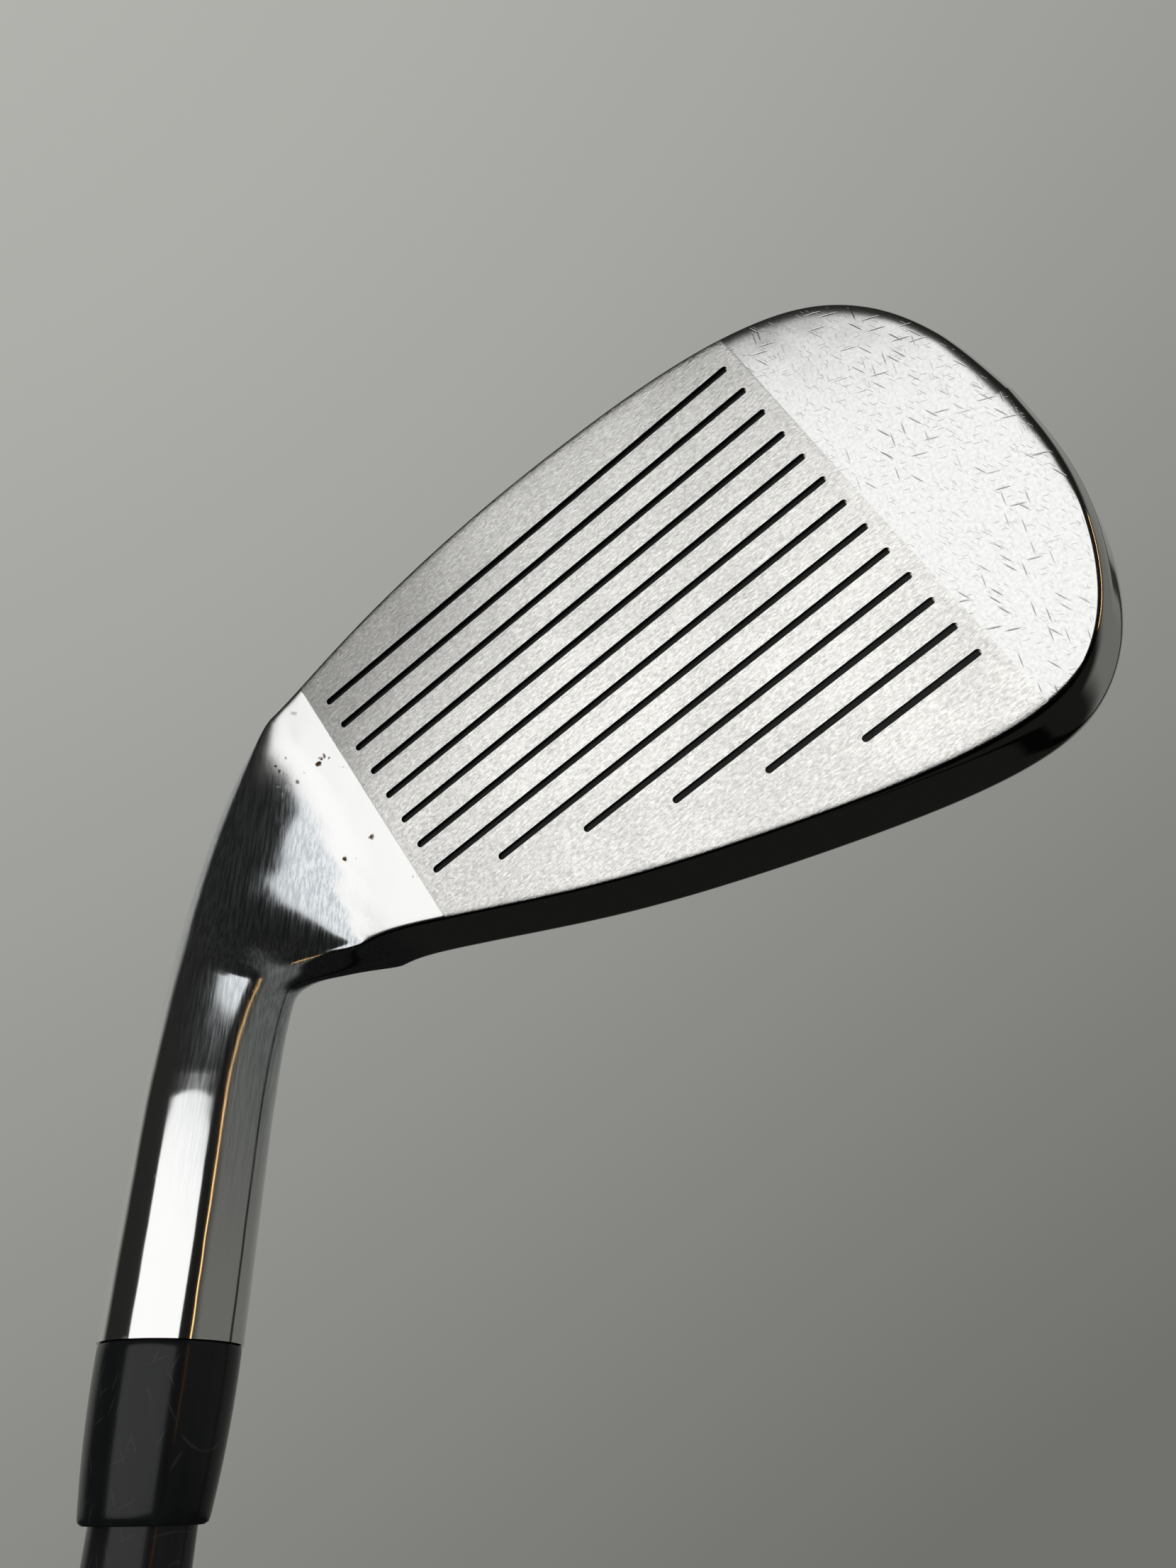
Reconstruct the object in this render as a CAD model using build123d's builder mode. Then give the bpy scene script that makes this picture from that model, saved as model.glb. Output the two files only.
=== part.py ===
"""An iron golf club, stored head-up: the shaft runs up +Z from the grip's butt end to the head,
the toe points towards +X and the striking face looks towards -Y. All sizes are in millimetres."""
from build123d import *
from math import cos, radians, sin, sqrt
import os

# --- whole club -----------------------------------------------------------------------------------
club_length = 978.0  # from the butt end to where the shaft's axis meets the ground at address
loft_angle = 21.0  # angle of the face from the vertical at address, in degrees
lie_angle = 63.5  # angle of the shaft from the ground at address, in degrees

# --- blade's outline on the face plane: u runs towards the toe and v up the face,
# --- both from the toe end of the lowest groove ---------------------------------------------------
axis_to_groove_end = 73.0  # along u, from the shaft's axis to the toe ends of the grooves
face_lead = 3.7  # how far the face is ahead of the shaft's axis at the lowest groove
groove_rise = 5.8  # along the shaft's axis, from the ground to the lowest groove's level
toe_reach = 20.4  # from the groove ends to the toe
heel_reach = 67.0  # from the groove ends to the blade's heel end
sole_drop = 6.8  # from the lowest groove down to the lowest point of the leading edge
toe_peak = 51.2  # from the lowest groove up to the highest point of the topline
toe_round_drop = 2.5  # how far the topline has fallen where the rounded toe meets it
topline_slope = 0.375  # fall of the topline towards the heel
topline_camber = 1.0  # how far the topline bows up between its ends
edge_roll = 0.8  # radius of the edge round the face

shortest_groove = 10.0  # grooves are cut up the face as long as they reach this
full_grooves = 8  # how many grooves run the whole width
groove_pitch = 3.56
groove_length = 59.4
groove_width = 0.8
groove_depth = 0.45
groove_topline_gap = 6.3  # along v, from a short groove's heel end to the topline

# --- blade's section, measured back from the face -------------------------------------------------
topline_thickness = 6.3
sole_width = 19.0
face_thickness = 3.0
muscle_rise = 21.0  # from the lowest groove up to where the thick lower part ends
muscle_thickness = 13.5  # at a third of that rise
muscle_blend = 9.0  # radius of the back's soft corners

# --- cavity in the back and its trim --------------------------------------------------------------
cavity_wall = 5.4  # from the blade's outline to the cavity
cavity_rise = 7.0  # from the lowest groove up to the cavity's lower wall
cavity_heel_wall = 10.0  # from the blade's heel end to the cavity's heel wall
cavity_corner = 4.0
wall_points = 16  # how many stretches the cavity's outline is drawn in
badge_length = 48.0
badge_height = 14.0
badge_corner = 3.0
badge_margin = 1.4  # from the cavity's lower wall up to the badge
badge_middle = 28.5  # from the groove ends to the badge's middle
adhesive_thickness = 0.25
damper_thickness = 1.0
badge_thickness = 0.6

# --- hosel and ferrule ----------------------------------------------------------------------------
hosel_radius = 6.75
hosel_rise = 62.5  # along the axis, from the lowest groove's level to the hosel's end
hosel_straight = 22.0  # length of the hosel's straight stretch
heel_rise = 1.3  # along the axis, from the ground up to the rounded heel
neck_rise = 32.0  # along the axis, from the lowest groove's level to where the neck joins the hosel
neck_overlap = 3.0  # how far the neck starts inside the blade
neck_roll = 0.8  # radius of the neck's soft edges
neck_skin = 0.4  # depth of the neck's start under the blade's surface
hosel_chamfer = 0.4
bore_depth = 32.0
bond_gap = 0.1  # the epoxy's thickness round the shaft
bond_floor = 0.5  # the epoxy's thickness under the shaft's tip
ferrule_length = 14.5
ferrule_step = 0.15  # how far the ferrule stays inside the hosel's outside
ferrule_end_wall = 1.0  # the ferrule's wall where it ends on the shaft
ferrule_roll = 0.6

# --- shaft and what is in its tip -----------------------------------------------------------------
tip_radius = 4.7
butt_radius = 7.62
parallel_tip = 203.0  # length of the straight tip
parallel_butt = 180.0  # length of the straight butt
tip_wall = 1.6
butt_wall = 1.1
weight_length = 14.0
cork_length = 10.0
band_length = 32.0
band_gap = 60.0  # from the grip's mouth to the band
band_thickness = 0.15

# --- grip -----------------------------------------------------------------------------------------
grip_length = 267.0
grip_butt_radius = 13.4
grip_mouth_radius = 9.3
mouth_roll = 0.5
tape_thickness = 0.2
tape_short = 8.0  # how far the tape stops short of the grip's mouth
cap_radius = 14.4
cap_thickness = 3.2
cap_lip = 2.4  # height of the cap's bead round the sleeve
cap_roll = 0.7
spigot_length = 4.0  # the part of the cap inside the shaft
spigot_clearance = 0.1
vent_radius = 1.2

# --- directions and planes of the head ------------------------------------------------------------
toe_way = Vector(sin(radians(lie_angle)), 0, cos(radians(lie_angle)))
address_up = Vector(cos(radians(lie_angle)), 0, -sin(radians(lie_angle)))
up_face = address_up * cos(radians(loft_angle)) + Vector(0, 1, 0) * sin(radians(loft_angle))
back_way = toe_way.cross(up_face)
level_back = Vector(0, 1, 0)  # straight back from the target, level at address
groove_level = club_length - groove_rise
groove_corner = Vector(0, 0, groove_level) + toe_way * axis_to_groove_end - back_way * face_lead


def face_depth(depth):
    """The plane of the face, moved level back until it is this deep behind the face."""
    moved = groove_corner + level_back * (depth / cos(radians(loft_angle)))
    return Plane(origin=moved, x_dir=toe_way, z_dir=back_way)


face_plane = face_depth(0)
section_plane = Plane(origin=groove_corner, x_dir=up_face, z_dir=toe_way)

topline_start = (-0.2 * heel_reach, toe_peak - toe_round_drop)
topline_end = (-heel_reach, topline_start[1] - 0.8 * heel_reach * topline_slope)
topline_middle = (-0.6 * heel_reach, (topline_start[1] + topline_end[1]) / 2 + topline_camber)
blade_outline = [
    (-heel_reach, -0.45 * sole_drop),
    (-0.7 * heel_reach, -0.93 * sole_drop),
    (-0.45 * heel_reach, -sole_drop),
    (-0.21 * heel_reach, -0.9 * sole_drop),
    (0, -0.6 * sole_drop),
    (0.45 * toe_reach, -0.1 * sole_drop),
    (0.79 * toe_reach, 0.105 * toe_peak),
    (0.99 * toe_reach, 0.42 * toe_peak),
    (0.86 * toe_reach, 0.79 * toe_peak),
    (0.5 * toe_reach, 0.965 * toe_peak),
    (0.05 * toe_reach, toe_peak),
    topline_start,
    topline_middle,
    topline_end,
]


def groove_heel_end(v):
    """How far towards the heel a groove at this height reaches before it comes near the topline."""
    run_up = topline_start[1] + 0.7 * topline_camber - groove_topline_gap - v
    return min(groove_length, -topline_start[0] + run_up / topline_slope)


groove_heights = [0.0]
while groove_heel_end(groove_heights[-1] + groove_pitch) > shortest_groove:
    groove_heights.append(groove_heights[-1] + groove_pitch)


def inset(outline, share, wall):
    """The point this far along the outline, moved inwards by the wall."""
    along = outline % share
    return outline @ share + Vector(-along.Y, along.X) * wall


def cavity_outline(margin):
    """The cavity's outline on the face plane, moved inwards by the margin."""
    wall = cavity_wall + margin
    with BuildSketch() as room:
        with BuildLine():
            room_rim = Spline(*[inset(rim, share / wall_points, wall) for share in range(wall_points + 1)])
            Line(room_rim @ 1, room_rim @ 0)
        make_face()
        with Locations((cavity_heel_wall + margin - heel_reach, cavity_rise + margin)):
            Rectangle(heel_reach + toe_reach, toe_peak, align=Align.MIN, mode=Mode.INTERSECT)
        fillet(room.vertices(), radius=cavity_corner)
    return room.sketch


# --- head -----------------------------------------------------------------------------------------
trailing_edge = (sole_width * sin(radians(loft_angle)) - sole_drop, sole_width * cos(radians(loft_angle)))
muscle_corner = (muscle_rise / 3, muscle_thickness)
muscle_top = (muscle_rise, topline_thickness)
beyond_sole = tuple(4 * t - 3 * m for t, m in zip(trailing_edge, muscle_corner))
beyond_topline = (2 * toe_peak, topline_thickness)

with BuildPart() as blade:
    with BuildSketch(face_plane):
        with BuildLine():
            rim = Spline(*blade_outline)
            Line(rim @ 1, rim @ 0)
        make_face()
    extrude(amount=2 * sole_width, dir=level_back)
    with BuildSketch(section_plane):
        with BuildLine():
            FilletPolyline(beyond_topline, muscle_top, muscle_corner, beyond_sole, radius=muscle_blend)
            Polyline(beyond_sole, (beyond_sole[0], 0), (beyond_topline[0], 0), beyond_topline)
        make_face()
    extrude(amount=2 * heel_reach, both=True, mode=Mode.INTERSECT)
    rim_edges = blade.edges().filter_by(GeomType.BSPLINE)
    fillet(rim_edges, radius=edge_roll)

hosel_end = groove_level - hosel_rise
bore_floor = hosel_end + bore_depth
heel_tip = club_length - heel_rise
straight_top = hosel_end + hosel_straight
ellipse_share = 4 * (sqrt(2) - 1) / 3  # places the handles of a curve that draws a quarter of an ellipse
with BuildPart() as hosel:
    with BuildSketch(Plane.XZ):
        with BuildLine():
            nose = Bezier(
                (hosel_radius, straight_top),
                (hosel_radius, straight_top + ellipse_share * (heel_tip - straight_top)),
                (ellipse_share * hosel_radius, heel_tip),
                (0, heel_tip),
            )
            Polyline(nose @ 0, (hosel_radius, hosel_end), (0, hosel_end), nose @ 1)
        make_face()
    revolve(axis=Axis.Z)

neck_start = groove_corner - toe_way * (heel_reach - neck_overlap)
blade_side = Plane(origin=neck_start, x_dir=up_face, z_dir=toe_way)
axis_side = Plane(origin=(0, 0, groove_level), x_dir=(0, 0, -1), z_dir=(1, 0, 0))
neck_top = topline_end[1] + neck_overlap * topline_slope - edge_roll
neck_top_back = neck_top + (topline_thickness - edge_roll) * sin(radians(loft_angle))
with BuildPart() as neck:
    with BuildSketch(blade_side) as blade_end:
        with BuildLine():
            Polyline(
                (-0.2 * sole_drop, 0.8 * topline_thickness),
                (-0.42 * sole_drop, 0.2 * topline_thickness),
                (0.3 * neck_top, neck_skin),
                (neck_top, 2 * neck_skin),
                (neck_top_back, topline_thickness - 2 * neck_skin),
                (0.82 * neck_top, topline_thickness - neck_skin),
                (0.3 * neck_top, 0.75 * muscle_thickness),
                (0, 0.9 * muscle_thickness),
                close=True,
            )
        make_face()
        fillet(blade_end.vertices(), radius=neck_roll)
    with BuildSketch(axis_side) as hosel_middle:
        with BuildLine():
            Polyline(
                (-0.08 * neck_rise, 0),
                (0, -0.4 * hosel_radius),
                (0.36 * neck_rise, -0.7 * hosel_radius),
                (0.85 * neck_rise, -0.88 * hosel_radius),
                (neck_rise, 0.3 * hosel_radius),
                (0.85 * neck_rise, 0.88 * hosel_radius),
                (0.36 * neck_rise, 0.7 * hosel_radius),
                (0, 0.4 * hosel_radius),
                close=True,
            )
        make_face()
        fillet(hosel_middle.vertices(), radius=neck_roll)
    loft(ruled=True)

with BuildPart() as iron_head:
    add(blade.part)
    add(neck.part)
    add(hosel.part)
    # the cavity, open at the back
    with BuildSketch(face_depth(face_thickness)):
        add(cavity_outline(0))
    extrude(amount=2 * sole_width, dir=level_back, mode=Mode.SUBTRACT)
    # the grooves, with round ends
    with BuildSketch(face_plane):
        for number, height in enumerate(groove_heights):
            reach = groove_length if number < full_grooves else groove_heel_end(height)
            with Locations((groove_width / 2 - reach / 2, height)):
                SlotOverall(reach, groove_width)
    extrude(amount=groove_depth, mode=Mode.SUBTRACT)
    # the bore for the shaft, open at the hosel's end
    with BuildSketch(Plane.XY.offset(hosel_end)):
        Circle(tip_radius + bond_gap)
    extrude(amount=bore_depth, mode=Mode.SUBTRACT)
    mouth_rim = iron_head.edges().filter_by_position(Axis.Z, hosel_end - 0.01, hosel_end + 0.01)
    chamfer(mouth_rim.sort_by(Edge.length)[-1], length=hosel_chamfer)
iron_head.part.label = "iron_head"

# --- trim on the cavity's floor, glued in layers --------------------------------------------------
def badge_layer(depth):
    """The badge's outline at this depth behind the face."""
    with BuildSketch(face_depth(depth)) as outline:
        with Locations((-badge_middle, cavity_rise + badge_margin + badge_height / 2)):
            RectangleRounded(badge_length, badge_height, badge_corner)
        add(cavity_outline(badge_margin), mode=Mode.INTERSECT)
    return outline.sketch


with BuildPart() as badge_adhesive:
    add(badge_layer(face_thickness))
    extrude(amount=adhesive_thickness / cos(radians(loft_angle)), dir=level_back)
badge_adhesive.part.label = "badge_adhesive"

with BuildPart() as damper_pad:
    add(badge_layer(face_thickness + adhesive_thickness))
    extrude(amount=damper_thickness / cos(radians(loft_angle)), dir=level_back)
damper_pad.part.label = "damper_pad"

with BuildPart() as cavity_badge:
    add(badge_layer(face_thickness + adhesive_thickness + damper_thickness))
    extrude(amount=badge_thickness / cos(radians(loft_angle)), dir=level_back)
cavity_badge.part.label = "cavity_badge"

# --- shaft and what is glued to it ----------------------------------------------------------------
shaft_tip = bore_floor - bond_floor
taper_top = shaft_tip - parallel_tip
taper_foot = cap_thickness + parallel_butt
tip_bore = tip_radius - tip_wall
butt_bore = butt_radius - butt_wall


def shaft_radius(z):
    """The shaft's outside radius at this height."""
    share = (z - taper_foot) / (taper_top - taper_foot)
    return butt_radius + (tip_radius - butt_radius) * min(1, max(0, share))


with BuildPart() as shaft:
    with BuildSketch(Plane.XZ):
        with BuildLine():
            Polyline(
                (tip_bore, shaft_tip),
                (tip_radius, shaft_tip),
                (tip_radius, taper_top),
                (butt_radius, taper_foot),
                (butt_radius, cap_thickness),
                (butt_bore, cap_thickness),
                (butt_bore, taper_foot),
                (tip_bore, taper_top),
                close=True,
            )
        make_face()
    revolve(axis=Axis.Z)
shaft.part.label = "shaft"

with BuildPart() as tip_weight:
    with BuildSketch(Plane.XY.offset(shaft_tip)):
        Circle(tip_bore)
    extrude(amount=-weight_length)
tip_weight.part.label = "tip_weight"

with BuildPart() as shaft_cork:
    with BuildSketch(Plane.XY.offset(shaft_tip - weight_length)):
        Circle(tip_bore)
    extrude(amount=-cork_length)
shaft_cork.part.label = "shaft_cork"

with BuildPart() as hosel_epoxy:
    with BuildSketch(Plane.XY.offset(hosel_end)):
        Circle(tip_radius + bond_gap)
    extrude(amount=bore_depth)
    with BuildSketch(Plane.XY.offset(hosel_end)):
        Circle(tip_radius)
    extrude(amount=shaft_tip - hosel_end, mode=Mode.SUBTRACT)
hosel_epoxy.part.label = "hosel_epoxy"

ferrule_large_radius = hosel_radius - ferrule_step
ferrule_small_radius = tip_radius + ferrule_end_wall
ferrule_foot = hosel_end - ferrule_length
ferrule_middle_radius = 0.7 * ferrule_large_radius + 0.3 * ferrule_small_radius
ferrule_middle = (ferrule_middle_radius, hosel_end - 0.45 * ferrule_length)
with BuildPart() as ferrule:
    with BuildSketch(Plane.XZ) as ferrule_half:
        with BuildLine():
            flank = ThreePointArc(
                (ferrule_large_radius, hosel_end),
                ferrule_middle,
                (ferrule_small_radius, ferrule_foot),
            )
            Polyline(flank @ 1, (tip_radius, ferrule_foot), (tip_radius, hosel_end), flank @ 0)
        make_face()
        fillet(ferrule_half.vertices().group_by(Axis.Y)[0].sort_by(Axis.X)[-1], radius=ferrule_roll)
    revolve(axis=Axis.Z)
ferrule.part.label = "ferrule"

band_foot = grip_length + band_gap
band_top = band_foot + band_length
with BuildPart() as shaft_band:
    with BuildSketch(Plane.XZ):
        with BuildLine():
            Polyline(
                (shaft_radius(band_foot), band_foot),
                (shaft_radius(band_foot) + band_thickness, band_foot),
                (shaft_radius(band_top) + band_thickness, band_top),
                (shaft_radius(band_top), band_top),
                close=True,
            )
        make_face()
    revolve(axis=Axis.Z)
shaft_band.part.label = "shaft_band"

# --- grip -----------------------------------------------------------------------------------------
tape_top = grip_length - tape_short
with BuildPart() as grip_tape:
    with BuildSketch(Plane.XZ):
        with BuildLine():
            Polyline(
                (butt_radius, cap_thickness),
                (butt_radius + tape_thickness, cap_thickness),
                (butt_radius + tape_thickness, taper_foot),
                (shaft_radius(tape_top) + tape_thickness, tape_top),
                (shaft_radius(tape_top), tape_top),
                (butt_radius, taper_foot),
                close=True,
            )
        make_face()
    revolve(axis=Axis.Z)
grip_tape.part.label = "grip_tape"

with BuildPart() as grip_sleeve:
    with BuildSketch(Plane.XZ) as sleeve_half:
        with BuildLine():
            outside = ThreePointArc(
                (grip_butt_radius, cap_thickness + cap_lip),
                (0.55 * grip_mouth_radius + 0.45 * grip_butt_radius, 0.5 * grip_length),
                (grip_mouth_radius, grip_length),
            )
            Polyline(
                outside @ 1,
                (shaft_radius(grip_length), grip_length),
                (shaft_radius(tape_top), tape_top),
                (shaft_radius(tape_top) + tape_thickness, tape_top),
                (butt_radius + tape_thickness, taper_foot),
                (butt_radius + tape_thickness, cap_thickness),
                (grip_butt_radius, cap_thickness),
                outside @ 0,
            )
        make_face()
        fillet(sleeve_half.vertices().group_by(Axis.Y)[-1].sort_by(Axis.X)[-1], radius=mouth_roll)
    revolve(axis=Axis.Z)
grip_sleeve.part.label = "grip_sleeve"

with BuildPart() as grip_cap:
    Cylinder(cap_radius, cap_thickness + cap_lip, align=(Align.CENTER, Align.CENTER, Align.MIN))
    fillet(grip_cap.edges().filter_by(GeomType.CIRCLE), radius=cap_roll)
    with BuildSketch(Plane.XY.offset(cap_thickness)):
        Circle(grip_butt_radius)
    extrude(amount=cap_lip, mode=Mode.SUBTRACT)
    with BuildSketch(Plane.XY.offset(cap_thickness)):
        Circle(butt_bore - spigot_clearance)
    extrude(amount=spigot_length)
    Hole(vent_radius)
grip_cap.part.label = "grip_cap"

os.makedirs("parts", exist_ok=True)
for piece in (
    iron_head,
    hosel_epoxy,
    ferrule,
    shaft,
    tip_weight,
    shaft_cork,
    shaft_band,
    badge_adhesive,
    damper_pad,
    cavity_badge,
    grip_tape,
    grip_sleeve,
    grip_cap,
):
    export_step(piece.part, f"parts/{piece.part.label}.step")
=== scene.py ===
"""Looks of an iron golf club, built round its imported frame.

The club stands head-up: the shaft runs up +Z, the toe points towards +X and the face looks towards -Y.
Sizes in the property groups are in metres. The head's own face frame has u towards the toe and
v up the face, both from the toe end of the lowest groove, and depth straight back from the face.
"""
from math import cos, pi, radians, sin, tan

import bmesh
import bpy
import numpy as np
from mathutils import Matrix, Vector


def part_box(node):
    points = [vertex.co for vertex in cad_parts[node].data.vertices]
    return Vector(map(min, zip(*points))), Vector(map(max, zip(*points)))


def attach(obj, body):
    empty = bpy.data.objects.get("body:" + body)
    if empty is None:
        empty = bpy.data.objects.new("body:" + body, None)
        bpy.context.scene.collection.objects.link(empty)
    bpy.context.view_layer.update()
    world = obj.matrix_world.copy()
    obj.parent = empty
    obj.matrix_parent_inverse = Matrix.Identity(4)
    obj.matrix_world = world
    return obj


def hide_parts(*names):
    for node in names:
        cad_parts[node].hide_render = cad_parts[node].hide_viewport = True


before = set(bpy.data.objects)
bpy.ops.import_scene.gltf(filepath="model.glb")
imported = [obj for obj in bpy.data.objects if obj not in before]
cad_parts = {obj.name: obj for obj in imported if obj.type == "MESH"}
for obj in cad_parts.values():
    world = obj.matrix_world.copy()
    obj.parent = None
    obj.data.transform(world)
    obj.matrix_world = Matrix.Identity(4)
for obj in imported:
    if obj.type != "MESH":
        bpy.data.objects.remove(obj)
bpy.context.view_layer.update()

bl_info = {
    "name": "Iron golf club",
    "version": (1, 0, 0),
    "blender": (4, 5, 0),
    "location": "3D Viewport > Sidebar > Golf club",
    "description": "Builds the head, ferrule, shaft and grip of an iron round its frame",
    "category": "Object",
}

MM = 0.001
HEAD_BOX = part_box("iron_head")
FERRULE_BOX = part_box("ferrule")
SHAFT_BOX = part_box("shaft")
BAND_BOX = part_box("shaft_band")
SLEEVE_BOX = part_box("grip_sleeve")
CAP_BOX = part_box("grip_cap")
TIP_RADIUS = 4.7 * MM
VENT_RADIUS = 1.2 * MM
HOSEL_END = HEAD_BOX[0][2]


# --- sizes and colours that a user would change -----------------------------------------------------
class ClubHeadSizes(bpy.types.PropertyGroup):
    """Sizes of the forged head."""

    loft: bpy.props.FloatProperty(
        name="Loft", description="Angle of the face from the vertical at address",
        default=radians(21.0), subtype="ANGLE",
    )
    lie: bpy.props.FloatProperty(
        name="Lie", description="Angle of the shaft from the ground at address",
        default=radians(63.5), subtype="ANGLE",
    )
    hosel_rise: bpy.props.FloatProperty(
        name="Hosel rise", description="From the lowest groove's level to the hosel's end, along the shaft",
        default=62.5 * MM, unit="LENGTH", precision=4,
    )
    hosel_radius: bpy.props.FloatProperty(
        name="Hosel radius", description="Outside radius of the hosel's straight stretch",
        default=6.75 * MM, unit="LENGTH", precision=4,
    )
    groove_offset: bpy.props.FloatProperty(
        name="Groove offset", description="From the shaft's axis to the toe ends of the grooves",
        default=73.0 * MM, unit="LENGTH", precision=4,
    )
    face_lead: bpy.props.FloatProperty(
        name="Face lead", description="How far the face is ahead of the shaft's axis at the lowest groove",
        default=3.7 * MM, unit="LENGTH", precision=4,
    )
    sole_width: bpy.props.FloatProperty(
        name="Sole width", description="Width of the sole from the leading to the trailing edge",
        default=19.0 * MM, unit="LENGTH", precision=4,
    )
    topline: bpy.props.FloatProperty(
        name="Topline", description="Thickness of the blade at its topline",
        default=6.3 * MM, unit="LENGTH", precision=4,
    )
    edge_roll: bpy.props.FloatProperty(
        name="Edge roll", description="Reach of the soft corner round the face",
        default=1.5 * MM, unit="LENGTH", precision=4,
    )


class GrooveSizes(bpy.types.PropertyGroup):
    """Sizes of the scoring lines on the face."""

    count: bpy.props.IntProperty(name="Count", description="How many grooves the face has", default=13)
    pitch: bpy.props.FloatProperty(
        name="Pitch", description="Distance from groove to groove", default=3.56 * MM, unit="LENGTH",
        precision=5,
    )
    length: bpy.props.FloatProperty(
        name="Length", description="Length of a full groove", default=59.4 * MM, unit="LENGTH", precision=4,
    )
    width: bpy.props.FloatProperty(
        name="Width", description="Width of a groove", default=0.8 * MM, unit="LENGTH", precision=5,
    )
    depth: bpy.props.FloatProperty(
        name="Depth", description="Depth of a groove", default=0.45 * MM, unit="LENGTH", precision=5,
    )


class ClubColours(bpy.types.PropertyGroup):
    """Colours of the finishes."""

    chrome: bpy.props.FloatVectorProperty(
        name="Chrome", description="Tint of the polished steel", default=(0.80, 0.80, 0.79), subtype="COLOR",
    )
    blasted: bpy.props.FloatVectorProperty(
        name="Blasted steel", description="Tint of the blasted hitting area", default=(0.92, 0.91, 0.875),
        subtype="COLOR",
    )
    rust: bpy.props.FloatVectorProperty(
        name="Rust", description="Colour of the small rust specks", default=(0.16, 0.09, 0.04),
        subtype="COLOR",
    )
    ferrule: bpy.props.FloatVectorProperty(
        name="Ferrule", description="Colour of the ferrule", default=(0.010, 0.011, 0.012), subtype="COLOR",
    )
    lacquer: bpy.props.FloatVectorProperty(
        name="Shaft lacquer", description="Colour of the shaft's lacquer", default=(0.014, 0.014, 0.016),
        subtype="COLOR",
    )
    grip: bpy.props.FloatVectorProperty(
        name="Grip", description="Colour of the grip's rubber", default=(0.018, 0.018, 0.019),
        subtype="COLOR",
    )


def sizes():
    """The head's sizes."""
    return bpy.context.scene.club_head


def colours():
    """The club's colours."""
    return bpy.context.scene.club_colours


# --- the head's face frame --------------------------------------------------------------------------
def face_frame():
    """The face frame: its origin and its unit vectors towards the toe, up the face and back.

    With A the lie and L the loft, u = (sin A, 0, cos A), v = (cos A cos L, sin L, -sin A cos L),
    and back is their cross product. The origin is the groove offset along u from the axis, and the
    face lead ahead of it.
    """
    head = sizes()
    u = np.array([sin(head.lie), 0.0, cos(head.lie)])
    v = np.array([cos(head.lie) * cos(head.loft), sin(head.loft), -sin(head.lie) * cos(head.loft)])
    back = np.cross(u, v)
    level = np.array([0.0, 0.0, HOSEL_END + head.hosel_rise])
    return level + u * head.groove_offset - back * head.face_lead, u, v, back


def to_front_view(points):
    """Face-plane points (u, v) in millimetres as front-view points (x, z) in metres."""
    origin, u, v, _ = face_frame()
    points = np.asarray(points) * MM
    placed = origin + points[:, :1] * u + points[:, 1:] * v
    return placed[:, [0, 2]]


def face_y(x, z):
    """The y of the face plane straight behind a front-view point."""
    origin, _, _, back = face_frame()
    return origin[1] - (back[0] * (x - origin[0]) + back[2] * (z - origin[2])) / back[1]


# --- mesh helpers -----------------------------------------------------------------------------------
def smooth_step(x, low, high):
    """0 below low, 1 above high, and 3s^2 - 2s^3 between them."""
    s = np.clip((x - low) / (high - low), 0.0, 1.0)
    return s * s * (3.0 - 2.0 * s)


def through(points, count, power=0.5):
    """A smooth curve through the points: a natural cubic spline on centripetal spacing,
    sampled evenly by length.

    Each coordinate is a piecewise cubic whose second derivatives solve the usual tridiagonal system.
    """
    points = np.asarray(points, float)
    gaps = np.linalg.norm(np.diff(points, axis=0), axis=1) ** power
    knots = np.concatenate([[0.0], np.cumsum(gaps)])
    n = len(points)
    system = np.zeros((n, n))
    right = np.zeros_like(points)
    system[0, 0] = system[-1, -1] = 1.0
    inner = np.arange(1, n - 1)
    h = np.diff(knots)
    system[inner, inner - 1] = h[:-1]
    system[inner, inner] = 2.0 * (h[:-1] + h[1:])
    system[inner, inner + 1] = h[1:]
    slopes = np.diff(points, axis=0) / h[:, None]
    right[1:-1] = 6.0 * np.diff(slopes, axis=0)
    bend = np.linalg.solve(system, right)

    def at(t):
        k = np.clip(np.searchsorted(knots, t, side="right") - 1, 0, n - 2)
        a = ((knots[k + 1] - t) / h[k])[:, None]
        b = 1.0 - a
        step = (h[k] ** 2 / 6.0)[:, None]
        return a * points[k] + b * points[k + 1] + ((a**3 - a) * bend[k] + (b**3 - b) * bend[k + 1]) * step

    fine = at(np.linspace(0.0, knots[-1], 60 * n))
    run = np.concatenate([[0.0], np.cumsum(np.linalg.norm(np.diff(fine, axis=0), axis=1))])
    wanted = np.linspace(0.0, run[-1], count)
    return np.stack([np.interp(wanted, run, fine[:, c]) for c in range(points.shape[1])], axis=1)


def grid_faces(rows, cols, closed):
    """Quads between neighbouring points of a grid, wrapped round its columns if closed."""
    r, c = np.meshgrid(np.arange(rows - 1), np.arange(cols if closed else cols - 1), indexing="ij")
    right = (c + 1) % cols
    quads = np.stack([r * cols + c, r * cols + right, (r + 1) * cols + right, (r + 1) * cols + c], axis=-1)
    return quads.reshape(-1, 4)


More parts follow.
